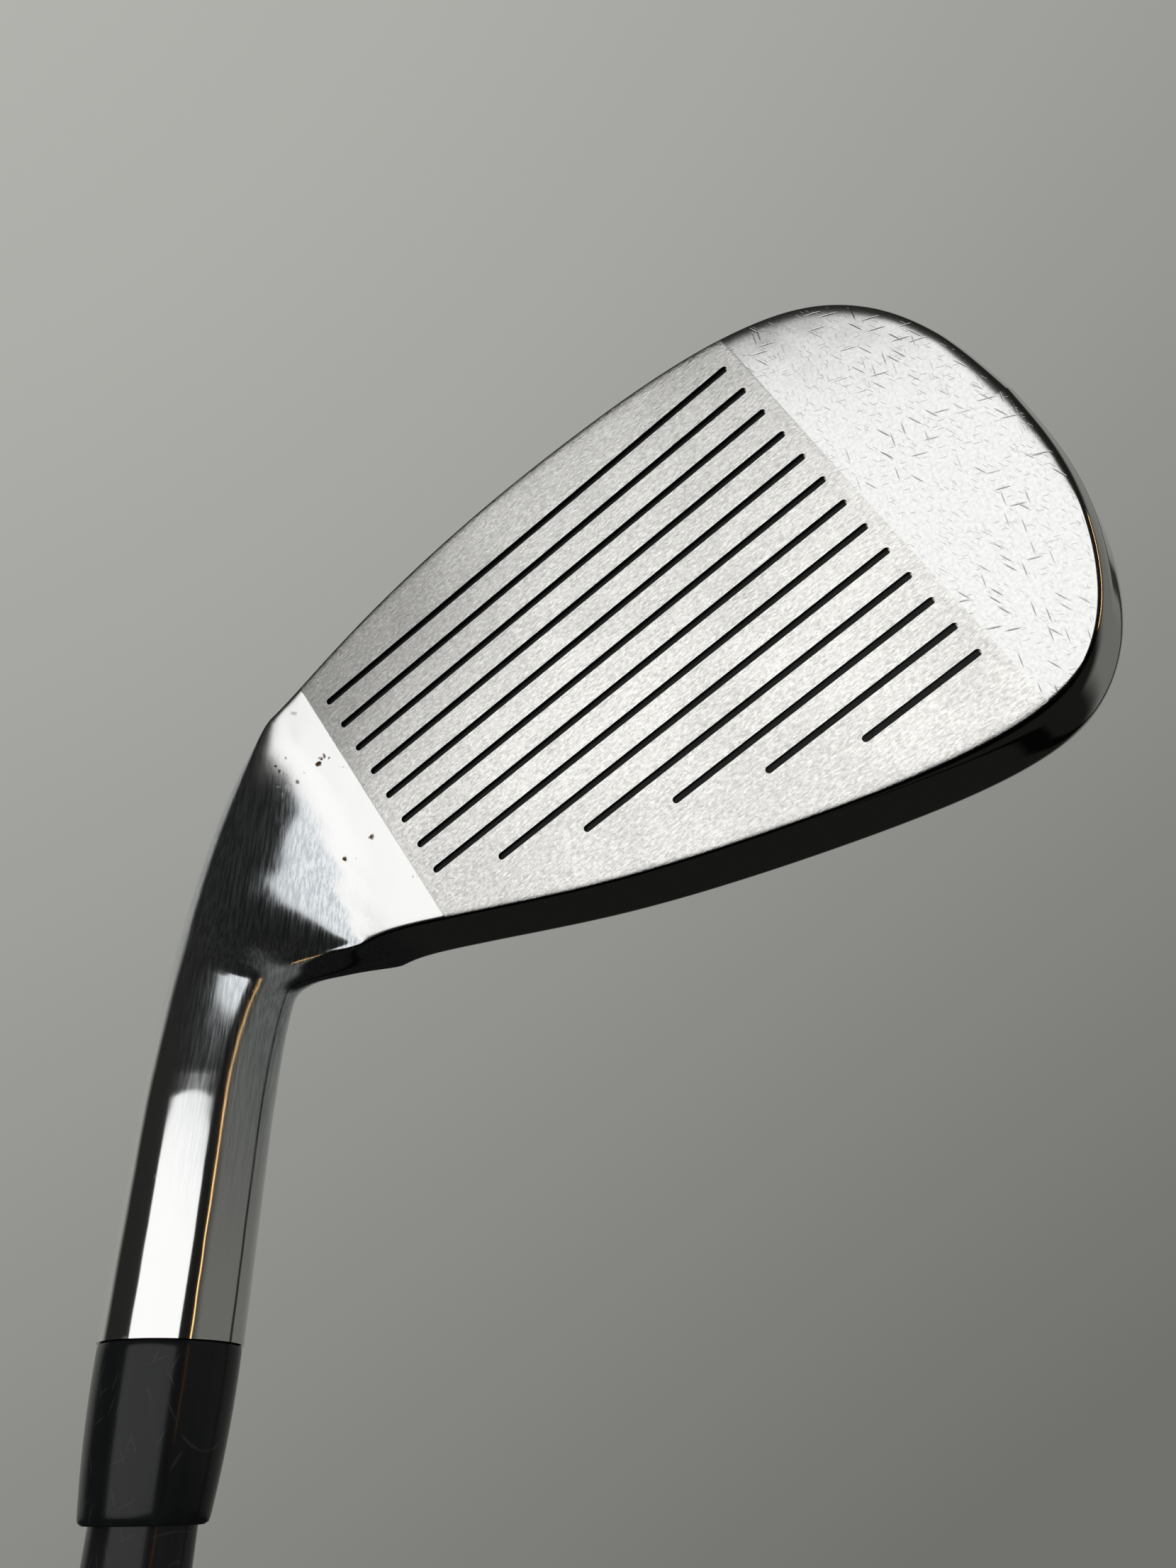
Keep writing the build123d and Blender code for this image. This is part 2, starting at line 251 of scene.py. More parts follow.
def new_mesh(name, points, faces, loops=()):
    """A smooth-shaded mesh object from points, quads and a few larger faces, its normals outwards."""
    mesh = bpy.data.meshes.new(name)
    mesh.from_pydata(points.tolist(), [], faces.tolist() + [list(map(int, loop)) for loop in loops])
    shape = bmesh.new()
    shape.from_mesh(mesh)
    bmesh.ops.remove_doubles(shape, verts=shape.verts, dist=1e-6)
    bmesh.ops.dissolve_degenerate(shape, edges=shape.edges, dist=1e-7)
    bmesh.ops.recalc_face_normals(shape, faces=shape.faces)
    shape.to_mesh(mesh)
    shape.free()
    mesh.shade_smooth()
    piece = bpy.data.objects.new(name, mesh)
    bpy.context.scene.collection.objects.link(piece)
    return piece


def turned(name, profile, around=96):
    """A solid of revolution about the shaft's axis: each profile point (radius, z) swept a full turn."""
    profile = np.asarray(profile, float)
    angle = np.linspace(0.0, 2.0 * pi, around, endpoint=False)
    radius, z = profile[:, :1], profile[:, 1:]
    points = np.stack(
        [radius * np.cos(angle), radius * np.sin(angle), z + 0.0 * angle], axis=-1
    ).reshape(-1, 3)
    rows = len(profile)
    last = (rows - 1) * around + np.arange(around)
    return new_mesh(name, points, grid_faces(rows, around, True), [np.arange(around)[::-1], last])


def rounded_profile(corners, rolls, steps=6):
    """A profile through the corners, each rounded by a quadratic curve reaching roll along its sides."""
    corners = np.asarray(corners, float)
    out = [corners[:1]]
    share = np.linspace(0.0, 1.0, steps)[:, None]
    for before, corner, after, roll in zip(corners[:-2], corners[1:-1], corners[2:], rolls):
        start = corner + (before - corner) / np.linalg.norm(before - corner) * roll
        end = corner + (after - corner) / np.linalg.norm(after - corner) * roll
        out.append((1 - share) ** 2 * start + 2 * share * (1 - share) * corner + share**2 * end)
    out.append(corners[-1:])
    return np.concatenate(out)


def cut_away(piece, cutter):
    """Cuts the cutter's volume out of the piece and removes the cutter."""
    cut = piece.modifiers.new("cut", "BOOLEAN")
    cut.operation = "DIFFERENCE"
    cut.solver = "EXACT"
    cut.object = cutter
    bpy.context.view_layer.update()
    result = bpy.data.meshes.new_from_object(piece.evaluated_get(bpy.context.evaluated_depsgraph_get()))
    piece.modifiers.remove(cut)
    old = piece.data
    piece.data = result
    result.name = piece.name
    bpy.data.meshes.remove(old)
    bpy.data.objects.remove(cutter)


def finish_piece(piece, material, slot, *nodes):
    """Gives the piece its material and body, and hides the CAD nodes it stands for; the slot is not used."""
    piece.data.materials.clear()
    piece.data.materials.append(material)
    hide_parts(*nodes)
    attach(piece, "root")


# --- materials --------------------------------------------------------------------------------------
class Nodes:
    """A short way to add and join shader nodes in one tree."""

    def __init__(self, tree):
        self.tree = tree

    def add(self, kind, **settings):
        node = self.tree.nodes.new(kind)
        for name, value in settings.items():
            setattr(node, name, value)
        return node

    def put(self, socket, value):
        if isinstance(value, bpy.types.NodeSocket):
            self.tree.links.new(value, socket)
        else:
            socket.default_value = value

    def noise(self, vector, scale, detail=4.0, rough=0.55, stretch=None, distortion=0.0):
        """A noise value from 0 to 1; stretch scales the pattern along X, Y and Z first."""
        if stretch is not None:
            vector = self.mapping(vector, scale=stretch)
        node = self.add("ShaderNodeTexNoise")
        self.put(node.inputs["Vector"], vector)
        node.inputs["Scale"].default_value = scale
        node.inputs["Detail"].default_value = detail
        node.inputs["Roughness"].default_value = rough
        node.inputs["Distortion"].default_value = distortion
        return node.outputs["Fac"]

    def mapping(self, vector, location=(0, 0, 0), rotation=(0, 0, 0), scale=(1, 1, 1)):
        node = self.add("ShaderNodeMapping", vector_type="POINT")
        self.put(node.inputs["Vector"], vector)
        node.inputs["Location"].default_value = location
        node.inputs["Rotation"].default_value = rotation
        node.inputs["Scale"].default_value = scale
        return node.outputs["Vector"]

    def ramp(self, value, low, high, start=0.0, end=1.0, smooth=True):
        """Start where the value is low, end where it is high."""
        kind = "SMOOTHSTEP" if smooth else "LINEAR"
        node = self.add("ShaderNodeMapRange", interpolation_type=kind, clamp=True)
        self.put(node.inputs["Value"], value)
        for name, number in (("From Min", low), ("From Max", high), ("To Min", start), ("To Max", end)):
            self.put(node.inputs[name], number)
        return node.outputs["Result"]

    def math(self, kind, first, second=0.0):
        node = self.add("ShaderNodeMath", operation=kind)
        self.put(node.inputs[0], first)
        self.put(node.inputs[1], second)
        return node.outputs["Value"]

    def mix(self, factor, first, second):
        node = self.add("ShaderNodeMix", data_type="RGBA")
        self.put(node.inputs["Factor"], factor)
        self.put(node.inputs["A"], first)
        self.put(node.inputs["B"], second)
        return node.outputs["Result"]

    def dot(self, vector, direction):
        node = self.add("ShaderNodeVectorMath", operation="DOT_PRODUCT")
        self.put(node.inputs[0], vector)
        node.inputs[1].default_value = direction
        return node.outputs["Value"]

    def bump(self, height, distance, strength=1.0, normal=None):
        node = self.add("ShaderNodeBump")
        self.put(node.inputs["Height"], height)
        node.inputs["Distance"].default_value = distance
        node.inputs["Strength"].default_value = strength
        if normal is not None:
            self.put(node.inputs["Normal"], normal)
        return node.outputs["Normal"]


def rgba(colour, gain=1.0):
    """A colour with full alpha, brightened by the gain."""
    return (*(channel * gain for channel in colour), 1.0)


def new_group(name, inputs, outputs):
    """An empty shader node group with these float or vector inputs and outputs."""
    tree = bpy.data.node_groups.new(name, "ShaderNodeTree")
    for socket, kind, value in inputs:
        made = tree.interface.new_socket(socket, in_out="INPUT", socket_type=kind)
        if kind == "NodeSocketFloat":
            made.default_value = value
    for socket, kind in outputs:
        tree.interface.new_socket(socket, in_out="OUTPUT", socket_type=kind)
    nodes = Nodes(tree)
    return tree, nodes, nodes.add("NodeGroupInput"), nodes.add("NodeGroupOutput")


def scratches_group():
    """Short straight scratches in the XY plane of the given vector.

    A scratch is the core of a Voronoi cell that is drawn out along one way, and only some cells have one.
    Three sets of cells, turned against each other, cross. Amount scales the mask.
    """
    tree, nodes, given, out = new_group(
        "Short scratches",
        [("Vector", "NodeSocketVector", None), ("Scale", "NodeSocketFloat", 900.0),
         ("Amount", "NodeSocketFloat", 0.5)],
        [("Mask", "NodeSocketFloat")],
    )
    total = 0.0
    for turn, share in ((0.30, 0.45), (-0.35, 0.40), (1.10, 0.22)):
        bent = nodes.mapping(given.outputs["Vector"], location=(turn, share, 0.0), rotation=(0.0, 0.0, turn))
        cells = nodes.add("ShaderNodeTexVoronoi", voronoi_dimensions="2D")
        nodes.put(cells.inputs["Vector"], nodes.mapping(bent, scale=(1.0, 0.085, 1.0)))
        nodes.put(cells.inputs["Scale"], given.outputs["Scale"])
        parts = nodes.add("ShaderNodeSeparateColor")
        nodes.put(parts.inputs["Color"], cells.outputs["Color"])
        line = nodes.ramp(cells.outputs["Distance"], 0.05, 0.14, 1.0, 0.0)
        kept = nodes.math("MULTIPLY", line, nodes.math("LESS_THAN", parts.outputs["Red"], share))
        total = nodes.math("MAXIMUM", kept, total)
    nodes.put(out.inputs["Mask"], nodes.math("MULTIPLY", total, given.outputs["Amount"]))
    return tree


def specks_group():
    """Small specks: the cores of scattered cells, kept only where a wider noise is high."""
    tree, nodes, given, out = new_group(
        "Specks",
        [("Vector", "NodeSocketVector", None), ("Scale", "NodeSocketFloat", 600.0),
         ("Amount", "NodeSocketFloat", 0.5)],
        [("Mask", "NodeSocketFloat")],
    )
    bent = nodes.add("ShaderNodeVectorMath", operation="ADD")
    wobble = nodes.add("ShaderNodeTexNoise")
    nodes.put(wobble.inputs["Vector"], given.outputs["Vector"])
    wobble.inputs["Scale"].default_value = 900.0
    small = nodes.add("ShaderNodeVectorMath", operation="SCALE")
    nodes.put(small.inputs[0], wobble.outputs["Color"])
    small.inputs["Scale"].default_value = 0.0012
    nodes.put(bent.inputs[0], given.outputs["Vector"])
    nodes.put(bent.inputs[1], small.outputs["Vector"])
    cells = nodes.add("ShaderNodeTexVoronoi")
    nodes.put(cells.inputs["Vector"], bent.outputs["Vector"])
    nodes.put(cells.inputs["Scale"], given.outputs["Scale"])
    core = nodes.ramp(cells.outputs["Distance"], 0.14, 0.30, 1.0, 0.0)
    where = nodes.noise(given.outputs["Vector"], 240.0, detail=1.0)
    spot = nodes.math("MULTIPLY", core, nodes.ramp(where, 0.57, 0.63))
    nodes.put(out.inputs["Mask"], nodes.math("MULTIPLY", spot, given.outputs["Amount"]))
    return tree


def use_group(nodes, tree, **values):
    """A group placed in a material with its own values."""
    node = nodes.add("ShaderNodeGroup", node_tree=tree)
    for name, value in values.items():
        nodes.put(node.inputs[name], value)
    return node.outputs[0]


def new_material(name):
    """An empty material, its node helper, its Principled shader and its object coordinates."""
    material = bpy.data.materials.new(name)
    material.use_nodes = True
    nodes = Nodes(material.node_tree)
    shader = material.node_tree.nodes["Principled BSDF"]
    place = nodes.add("ShaderNodeTexCoord").outputs["Object"]
    return material, nodes, shader, place


def head_steel(shared):
    """Polished steel with a blasted hitting area between two lines square to the grooves.

    The face frame's u and v are dot products of the place with its unit vectors. The polished face
    has scratches, the blend into the hosel a satin directional grain with a darker tint that is partly
    a painted dark reflection, and the heel a few rust specks.
    """
    material, nodes, shader, place = new_material("Forged head steel")
    origin, u, v, back = (np.asarray(a) for a in face_frame())
    tint = colours()
    along = nodes.math("MULTIPLY", nodes.math("SUBTRACT", nodes.dot(place, u), float(origin @ u)), 1 / MM)
    up = nodes.math("MULTIPLY", nodes.math("SUBTRACT", nodes.dot(place, v), float(origin @ v)), 1 / MM)
    deep = nodes.math(
        "MULTIPLY", nodes.math("SUBTRACT", nodes.dot(place, back), float(origin @ back)), 1 / MM
    )
    laid = nodes.add("ShaderNodeCombineXYZ")
    for axis, value in zip("XYZ", (along, up, deep)):
        nodes.put(laid.inputs[axis], nodes.math("MULTIPLY", value, MM))
    laid = laid.outputs["Vector"]
    geometry = nodes.add("ShaderNodeNewGeometry")
    facing = nodes.dot(geometry.outputs["Normal"], -back)

    # where the finishes are
    on_face = nodes.ramp(facing, 0.93, 0.985)
    toe_line = nodes.ramp(along, 1.75, 2.05, 1.0, 0.0)
    heel_line = nodes.ramp(along, -60.9, -60.6)
    blasted = nodes.math("MULTIPLY", on_face, nodes.math("MULTIPLY", toe_line, heel_line))
    toe_face = nodes.math("MULTIPLY", on_face, nodes.ramp(along, 1.75, 2.05))
    heel_face = nodes.math("MULTIPLY", on_face, nodes.ramp(along, -60.9, -60.6, 1.0, 0.0))

    # the blasted area's fibrous speckle
    fibre = nodes.noise(laid, 4200.0, detail=3.0, rough=0.65, stretch=(0.35, 1.0, 1.0), distortion=0.8)
    grit = nodes.noise(place, 2600.0, detail=2.0)
    cloud = nodes.noise(place, 90.0, detail=3.0)
    # the blasted area is painted darker towards the sole and the heel, down to half its brightness
    low_heel_darkening = nodes.math("MULTIPLY", nodes.ramp(up, 26.0, -6.0), nodes.ramp(along, -8.0, -62.0))
    speckle = nodes.ramp(fibre, 0.34, 0.66, 0.66, 1.10, smooth=False)
    shade = nodes.math("MULTIPLY", speckle, nodes.ramp(cloud, 0.3, 0.7, 0.90, 1.04))
    shade = nodes.math("MULTIPLY", shade, nodes.ramp(low_heel_darkening, 0.0, 1.0, 1.0, 0.50))
    blast_colour = nodes.mix(shade, rgba((0.0, 0.0, 0.0)), rgba(tint.blasted))

    # the polished parts
    scratch = use_group(nodes, shared["scratches"], Vector=laid, Scale=1500.0, Amount=1.0)
    fine = use_group(nodes, shared["scratches"], Vector=laid, Scale=3400.0, Amount=0.40)
    wear = nodes.ramp(nodes.noise(place, 75.0, detail=2.0), 0.36, 0.62)
    marks = nodes.math("MAXIMUM", nodes.math("MULTIPLY", scratch, wear), fine)
    toe_scratch = nodes.math("MULTIPLY", marks, toe_face)
    haze = nodes.math("MULTIPLY", toe_face, nodes.ramp(nodes.noise(laid, 2600.0, detail=4.0), 0.35, 0.7))
    hairlines = nodes.noise(place, 4200.0, detail=3.0, rough=0.7, stretch=(1.0, 1.0, 0.05))
    specks = use_group(nodes, shared["specks"], Vector=place, Scale=700.0, Amount=1.0)
    rust = nodes.math("MULTIPLY", specks, heel_face)
    chrome = rgba(tint.chrome)
    polished = nodes.mix(haze, chrome, rgba(tint.chrome, 0.86))
    polished = nodes.mix(nodes.math("MULTIPLY", toe_scratch, 0.8), polished, rgba(tint.chrome, 0.26))
    polished = nodes.mix(rust, polished, rgba(tint.rust))
    # the blend into the hosel is satin, a little blue, with lighter and darker hairlines; its darker tint is
    # partly a painted dark reflection
    blend = nodes.math("MULTIPLY", nodes.ramp(along, -65.0, -69.0), nodes.ramp(along, -94.0, -80.0))
    satin_and_painted_dark_tint = nodes.mix(
        nodes.ramp(hairlines, 0.36, 0.64), rgba((0.42, 0.45, 0.47)), rgba((0.68, 0.71, 0.73))
    )
    not_face = nodes.math("SUBTRACT", 1.0, on_face)
    polished = nodes.mix(nodes.math("MULTIPLY", blend, not_face), polished, satin_and_painted_dark_tint)
    colour = nodes.mix(blasted, polished, blast_colour)
    # the grooves are painted near black, partly as dirt and partly as painted shade in the recess: near a
    # groove's line, between their ends and below the face
    groove = bpy.context.scene.club_grooves
    beat = nodes.math("PINGPONG", nodes.math("ADD", up, groove.pitch / MM * 2), groove.pitch / MM / 2)
    inside = nodes.math("MULTIPLY", nodes.ramp(beat, 0.5, 0.6, 1.0, 0.0), nodes.ramp(deep, 0.02, 0.10))
    inside = nodes.math("MULTIPLY", inside, nodes.ramp(deep, 0.6, 0.7, 1.0, 0.0))
    inside = nodes.math("MULTIPLY", inside, nodes.ramp(up, -0.9, -0.7))
    slope = nodes.math("MULTIPLY", nodes.math("SUBTRACT", up, GROOVE_LINE), 1 / GROOVE_SLOPE)
    limit = nodes.math("MAXIMUM", nodes.math("SUBTRACT", slope, GROOVE_SHORT + 0.8), -60.2)
    reach = nodes.ramp(nodes.math("SUBTRACT", along, limit), 0.0, 0.2)
    reach = nodes.math("MULTIPLY", reach, nodes.ramp(along, 0.2, 0.4, 1.0, 0.0))
    groove_dirt_and_shade = nodes.math("MULTIPLY", inside, reach)
    colour = nodes.mix(nodes.math("MULTIPLY", groove_dirt_and_shade, 0.985), colour, rgba((0.006, 0.006, 0.006)))
    nodes.put(shader.inputs["Base Color"], colour)
    shader.inputs["Metallic"].default_value = 1.0
    satin = nodes.math("MULTIPLY", blend, nodes.ramp(hairlines, 0.3, 0.7, 0.03, 0.09))
    rough = nodes.math("ADD", 0.075, satin)
    rough = nodes.math("ADD", rough, nodes.math("MULTIPLY", on_face, 0.08))
    rough = nodes.math("ADD", rough, nodes.math("MULTIPLY", blasted, nodes.ramp(grit, 0.3, 0.7, 0.10, 0.18)))
    rough = nodes.math("ADD", rough, nodes.math("MULTIPLY", rust, 0.5))
    nodes.put(shader.inputs["Roughness"], rough)

    height = nodes.math("MULTIPLY", blasted, fibre)
    height = nodes.math("SUBTRACT", height, nodes.math("MULTIPLY", toe_scratch, 0.5))
    height = nodes.math("ADD", height, nodes.math("MULTIPLY", hairlines, nodes.math("MULTIPLY", blend, 0.12)))
    ripple = nodes.noise(place, 240.0, detail=1.0, stretch=(1.0, 1.0, 0.6))
    smooth_normal = nodes.bump(ripple, 0.00008, 0.5)
    nodes.put(shader.inputs["Normal"], nodes.bump(height, 0.00003, 0.7, smooth_normal))
    return material


def gloss_black(name, colour, shared, grain):
    """Gloss black with a clear coat, cloudy roughness, hairline scratches and a fine grain beneath."""
    material, nodes, shader, place = new_material(name)
    cloud = nodes.noise(place, 45.0, detail=3.0)
    weave = nodes.noise(place, grain, detail=2.0, stretch=(1.0, 1.0, 0.12))
    upright = nodes.mapping(place, rotation=(-pi / 2, 0.0, 0.0))
    scratch = use_group(nodes, shared["scratches"], Vector=upright, Scale=1500.0, Amount=0.25)
    base = nodes.mix(weave, rgba(colour, 0.5), rgba(colour, 1.1))
    nodes.put(shader.inputs["Base Color"], nodes.mix(scratch, base, rgba((0.06, 0.06, 0.06))))
    nodes.put(shader.inputs["Roughness"], nodes.ramp(cloud, 0.3, 0.7, 0.16, 0.24))
    shader.inputs["Specular IOR Level"].default_value = 0.25
    shader.inputs["Coat Weight"].default_value = 0.10
    shader.inputs["Coat Roughness"].default_value = 0.08
    nodes.put(shader.inputs["Normal"], nodes.bump(nodes.math("SUBTRACT", weave, scratch), 0.00002, 0.5))
    return material


def moulded_rubber(name, colour, shared, rough=0.62):
    """Matt rubber with a fine pebble, a cloudy wear of its roughness and a little dust."""
    material, nodes, shader, place = new_material(name)
    pebble = nodes.noise(place, 2400.0, detail=2.0)
    wear = nodes.noise(place, 38.0, detail=4.0)
    dust = use_group(nodes, shared["specks"], Vector=place, Scale=900.0, Amount=0.35)
    base = nodes.mix(nodes.ramp(wear, 0.35, 0.7), rgba(colour), rgba(colour, 2.0))
    nodes.put(shader.inputs["Base Color"], nodes.mix(dust, base, rgba((0.16, 0.155, 0.15))))
    nodes.put(shader.inputs["Roughness"], nodes.ramp(wear, 0.3, 0.7, rough, rough - 0.14))
    nodes.put(shader.inputs["Normal"], nodes.bump(pebble, 0.00006, 0.7))
    return material


def brushed_metal(name, colour, shared, rough=0.28, stretch=(0.03, 1.0, 1.0)):
    """Brushed metal: a noise drawn out along one way sets the roughness, the tint and a fine bump."""
    material, nodes, shader, place = new_material(name)
    brush = nodes.noise(place, 2200.0, detail=3.0, rough=0.7, stretch=stretch)
    scratch = use_group(nodes, shared["scratches"], Vector=place, Scale=900.0, Amount=0.5)
    base = nodes.mix(brush, rgba(colour, 0.8), rgba(colour, 1.1))
    nodes.put(shader.inputs["Base Color"], nodes.mix(scratch, base, rgba(colour, 0.45)))
    shader.inputs["Metallic"].default_value = 1.0
    nodes.put(shader.inputs["Roughness"], nodes.ramp(brush, 0.3, 0.7, rough - 0.06, rough + 0.10))
    nodes.put(shader.inputs["Normal"], nodes.bump(brush, 0.00002, 0.6))
    return material


def plain_filler(name, dark, light, scale, rough, distance):
    """A dull material (foam, cork, paper, epoxy): a noise mixes two tones, sets roughness and bump."""
    material, nodes, shader, place = new_material(name)
    grain = nodes.noise(place, scale, detail=6.0, rough=0.65)
    nodes.put(shader.inputs["Base Color"], nodes.mix(nodes.ramp(grain, 0.35, 0.65), rgba(dark), rgba(light)))
    nodes.put(shader.inputs["Roughness"], nodes.ramp(grain, 0.3, 0.7, rough - 0.08, rough + 0.06))
    nodes.put(shader.inputs["Normal"], nodes.bump(grain, distance, 0.8))
    return material


_shared = {}


def shared_groups():
    """The node groups that several materials use, made once."""
    if not _shared:
        _shared["scratches"] = scratches_group()
        _shared["specks"] = specks_group()
    return _shared


# --- the head ---------------------------------------------------------------------------------------
# where the rails pass, as (x, rise) on the hosel and (u, v) on the blade, in millimetres
HEEL_BOW_START = 40.0
HEEL_BOW_LENGTH = 44.5
HEEL_POINTS = ((-3.0, 0.9), (-1.4, -1.2), (1.6, -3.0), (4.9, -4.75))
SOLE_POINTS = (
    (-62.8, -4.0), (-54.0, -5.3), (-43.0, -6.4), (-30.0, -6.8), (-17.0, -6.3), (-6.0, -5.2),
    (4.0, -3.0), (11.6, 0.7), (16.6, 6.6), (19.2, 14.2), (20.2, 22.5),
)
TOPLINE_POINTS = (
    (-62.0, 29.6), (-57.0, 32.0), (-46.0, 37.2), (-34.0, 42.0), (-22.0, 46.1), (-10.0, 49.6), (-1.0, 51.2),
    (5.5, 50.6), (11.5, 46.9), (16.0, 40.6), (19.2, 32.2), (20.2, 22.5),
)
CROTCH_POINTS = (
    (6.75, 50.0), (6.76, 42.0), (6.95, 35.0), (7.7, 29.4), (9.6, 25.2), (13.6, 22.3), (18.2, 21.3)
)
# at each v, the u of the flat face's limit on the heel side and the reach of the blend past it
LIMIT_V = (-3.0, 2.0, 8.0, 14.0, 19.0, 24.0, 28.0, 32.0, 40.0)
LIMIT_U = (-66.2, -65.0, -64.7, -65.6, -68.5, -70.5, -70.0, -66.0, -58.0)
BLEND_REACH = (11.0, 13.0, 15.0, 15.5, 14.0, 12.0, 10.5, 10.0, 10.0)
SECTIONS = 260
CONTROLS = 24
# the station where the blade begins, and the last straight level on the hosel, below its end
BLADE_START = 0.46
HOSEL_MARK = 38.0 * MM
ROUND_SECTION = 8


def rails():
    """The heel-and-sole rail and the crotch-and-topline rail, in the front view, matched station by station.

    Both run from the hosel's end to the tip of the toe. On the hosel the heel rail is a quarter of an
    ellipse. Each is a smooth curve in two stretches, and the stretches meet where the neck becomes blade,
    so that sections fan round the crotch.
    """
    head = sizes()
    level = HOSEL_END + head.hosel_rise
    end = head.hosel_rise / MM

    def hosel_point(x, rise):
        return (x * MM, level - rise * MM)

    radius = head.hosel_radius / MM
    rises = np.array([end, 55.0, 47.5, 40.0, 32.0, 24.0, 16.0, 9.0, 3.5])
    bow = np.sqrt(np.clip(1.0 - ((HEEL_BOW_START - rises) / HEEL_BOW_LENGTH) ** 2, 0.0, 1.0))
    x = -radius * np.where(rises > HEEL_BOW_START, 1.0, bow)
    heel = [hosel_point(a, b) for a, b in zip(x, rises)] + [hosel_point(*p) for p in HEEL_POINTS]
    heel += to_front_view(SOLE_POINTS).tolist()
    crotch = [hosel_point(radius, end)] + [hosel_point(*p) for p in CROTCH_POINTS]
    crotch += to_front_view(TOPLINE_POINTS).tolist()
    return through(heel, 1200), through(crotch, 1200)


def blade_thickness(height):
    """How far back the blade's back is from its face, measured level, at this height up the face.

    Two straight slopes and a flat, joined by soft corners: the larger of three lines, where each corner
    is softened as w log(exp(a / w) + exp(b / w)).
    """
    head = sizes()
    soft = 1.1
    h = height / MM
    thin = head.topline / cos(head.loft) / MM + 0.0 * h
    muscle = 14.5 + (1.8 - h) * 0.46
    sole = head.sole_width / MM + (-6.8 - h) * 0.15
    lower = -soft * np.logaddexp(-muscle / soft, -sole / soft)
    return soft * np.logaddexp(thin / soft, lower / soft) * MM


def station_frames(rail):
    """Unit vectors along a rail and outwards from it, to the left of its way."""
    along = np.gradient(rail, axis=0)
    along = along / np.linalg.norm(along, axis=1, keepdims=True)
    return along, np.stack([along[:, 1], -along[:, 0]], axis=1)


def match_rails(heel, crotch):
    """Picks stations on both rails: straight across the hosel, fanned round the crotch, across the blade.

    The share of each rail's length at a station is a piecewise linear function of the station, with
    corners where the hosel ends and the blade begins, softened by a moving average.
    """
    def share_where(rail, wanted):
        return float(np.argmin(np.linalg.norm(rail - wanted, axis=1))) / (len(rail) - 1)

    level = HOSEL_END + sizes().hosel_rise
    station = np.array([0.0, 0.22, BLADE_START, 1.0])
    heel_marks = [
        0.0,
        share_where(heel, np.array([-sizes().hosel_radius, level - HOSEL_MARK])),
        share_where(heel, to_front_view([(-58.0, -4.8)])[0]),
        1.0,
    ]
    crotch_marks = [
        0.0,
        share_where(crotch, np.array([sizes().hosel_radius, level - HOSEL_MARK])),
        share_where(crotch, to_front_view([(-58.0, 31.5)])[0]),
        1.0,
    ]
    s = np.linspace(0.0, 1.0, SECTIONS)
    # finer stations near the tip of the toe, where the sections shrink
    late = np.clip((s - BLADE_START) / (1 - BLADE_START), 0.0, 1.0)
    s = np.minimum(s, BLADE_START) + (1 - BLADE_START) * np.sin(late * pi / 2) ** 0.9
    return s, np.interp(s, station, heel_marks), np.interp(s, station, crotch_marks)


def soften(values, reach):
    """A moving average over neighbouring stations, with the ends kept."""
    kernel = np.hanning(2 * reach + 3)[1:-1]
    kernel /= kernel.sum()
    before = 2 * values[0] - values[reach:0:-1]
    after = 2 * values[-1] - values[-2:-reach - 2:-1]
    padded = np.concatenate([before, values, after])
    return np.convolve(padded, kernel, mode="valid")


def sample(rail, share):
    """Points of a rail at these shares of its length."""
    place = np.linspace(0.0, 1.0, len(rail))
    return np.stack([np.interp(share, place, rail[:, c]) for c in range(rail.shape[1])], axis=1)


def spline_basis(controls, samples):
    """The weights of a closed uniform cubic B-spline: a (samples x controls) matrix."""
    t = np.arange(samples) * controls / samples
    k = np.floor(t).astype(int)
    f = t - k
    weights = np.stack([(1 - f) ** 3, 3 * f**3 - 6 * f**2 + 4, -3 * f**3 + 3 * f**2 + 3 * f + 1, f**3]) / 6
    basis = np.zeros((samples, controls))
    for offset in range(4):
        basis[np.arange(samples), (k + offset - 1) % controls] += weights[offset]
    return basis


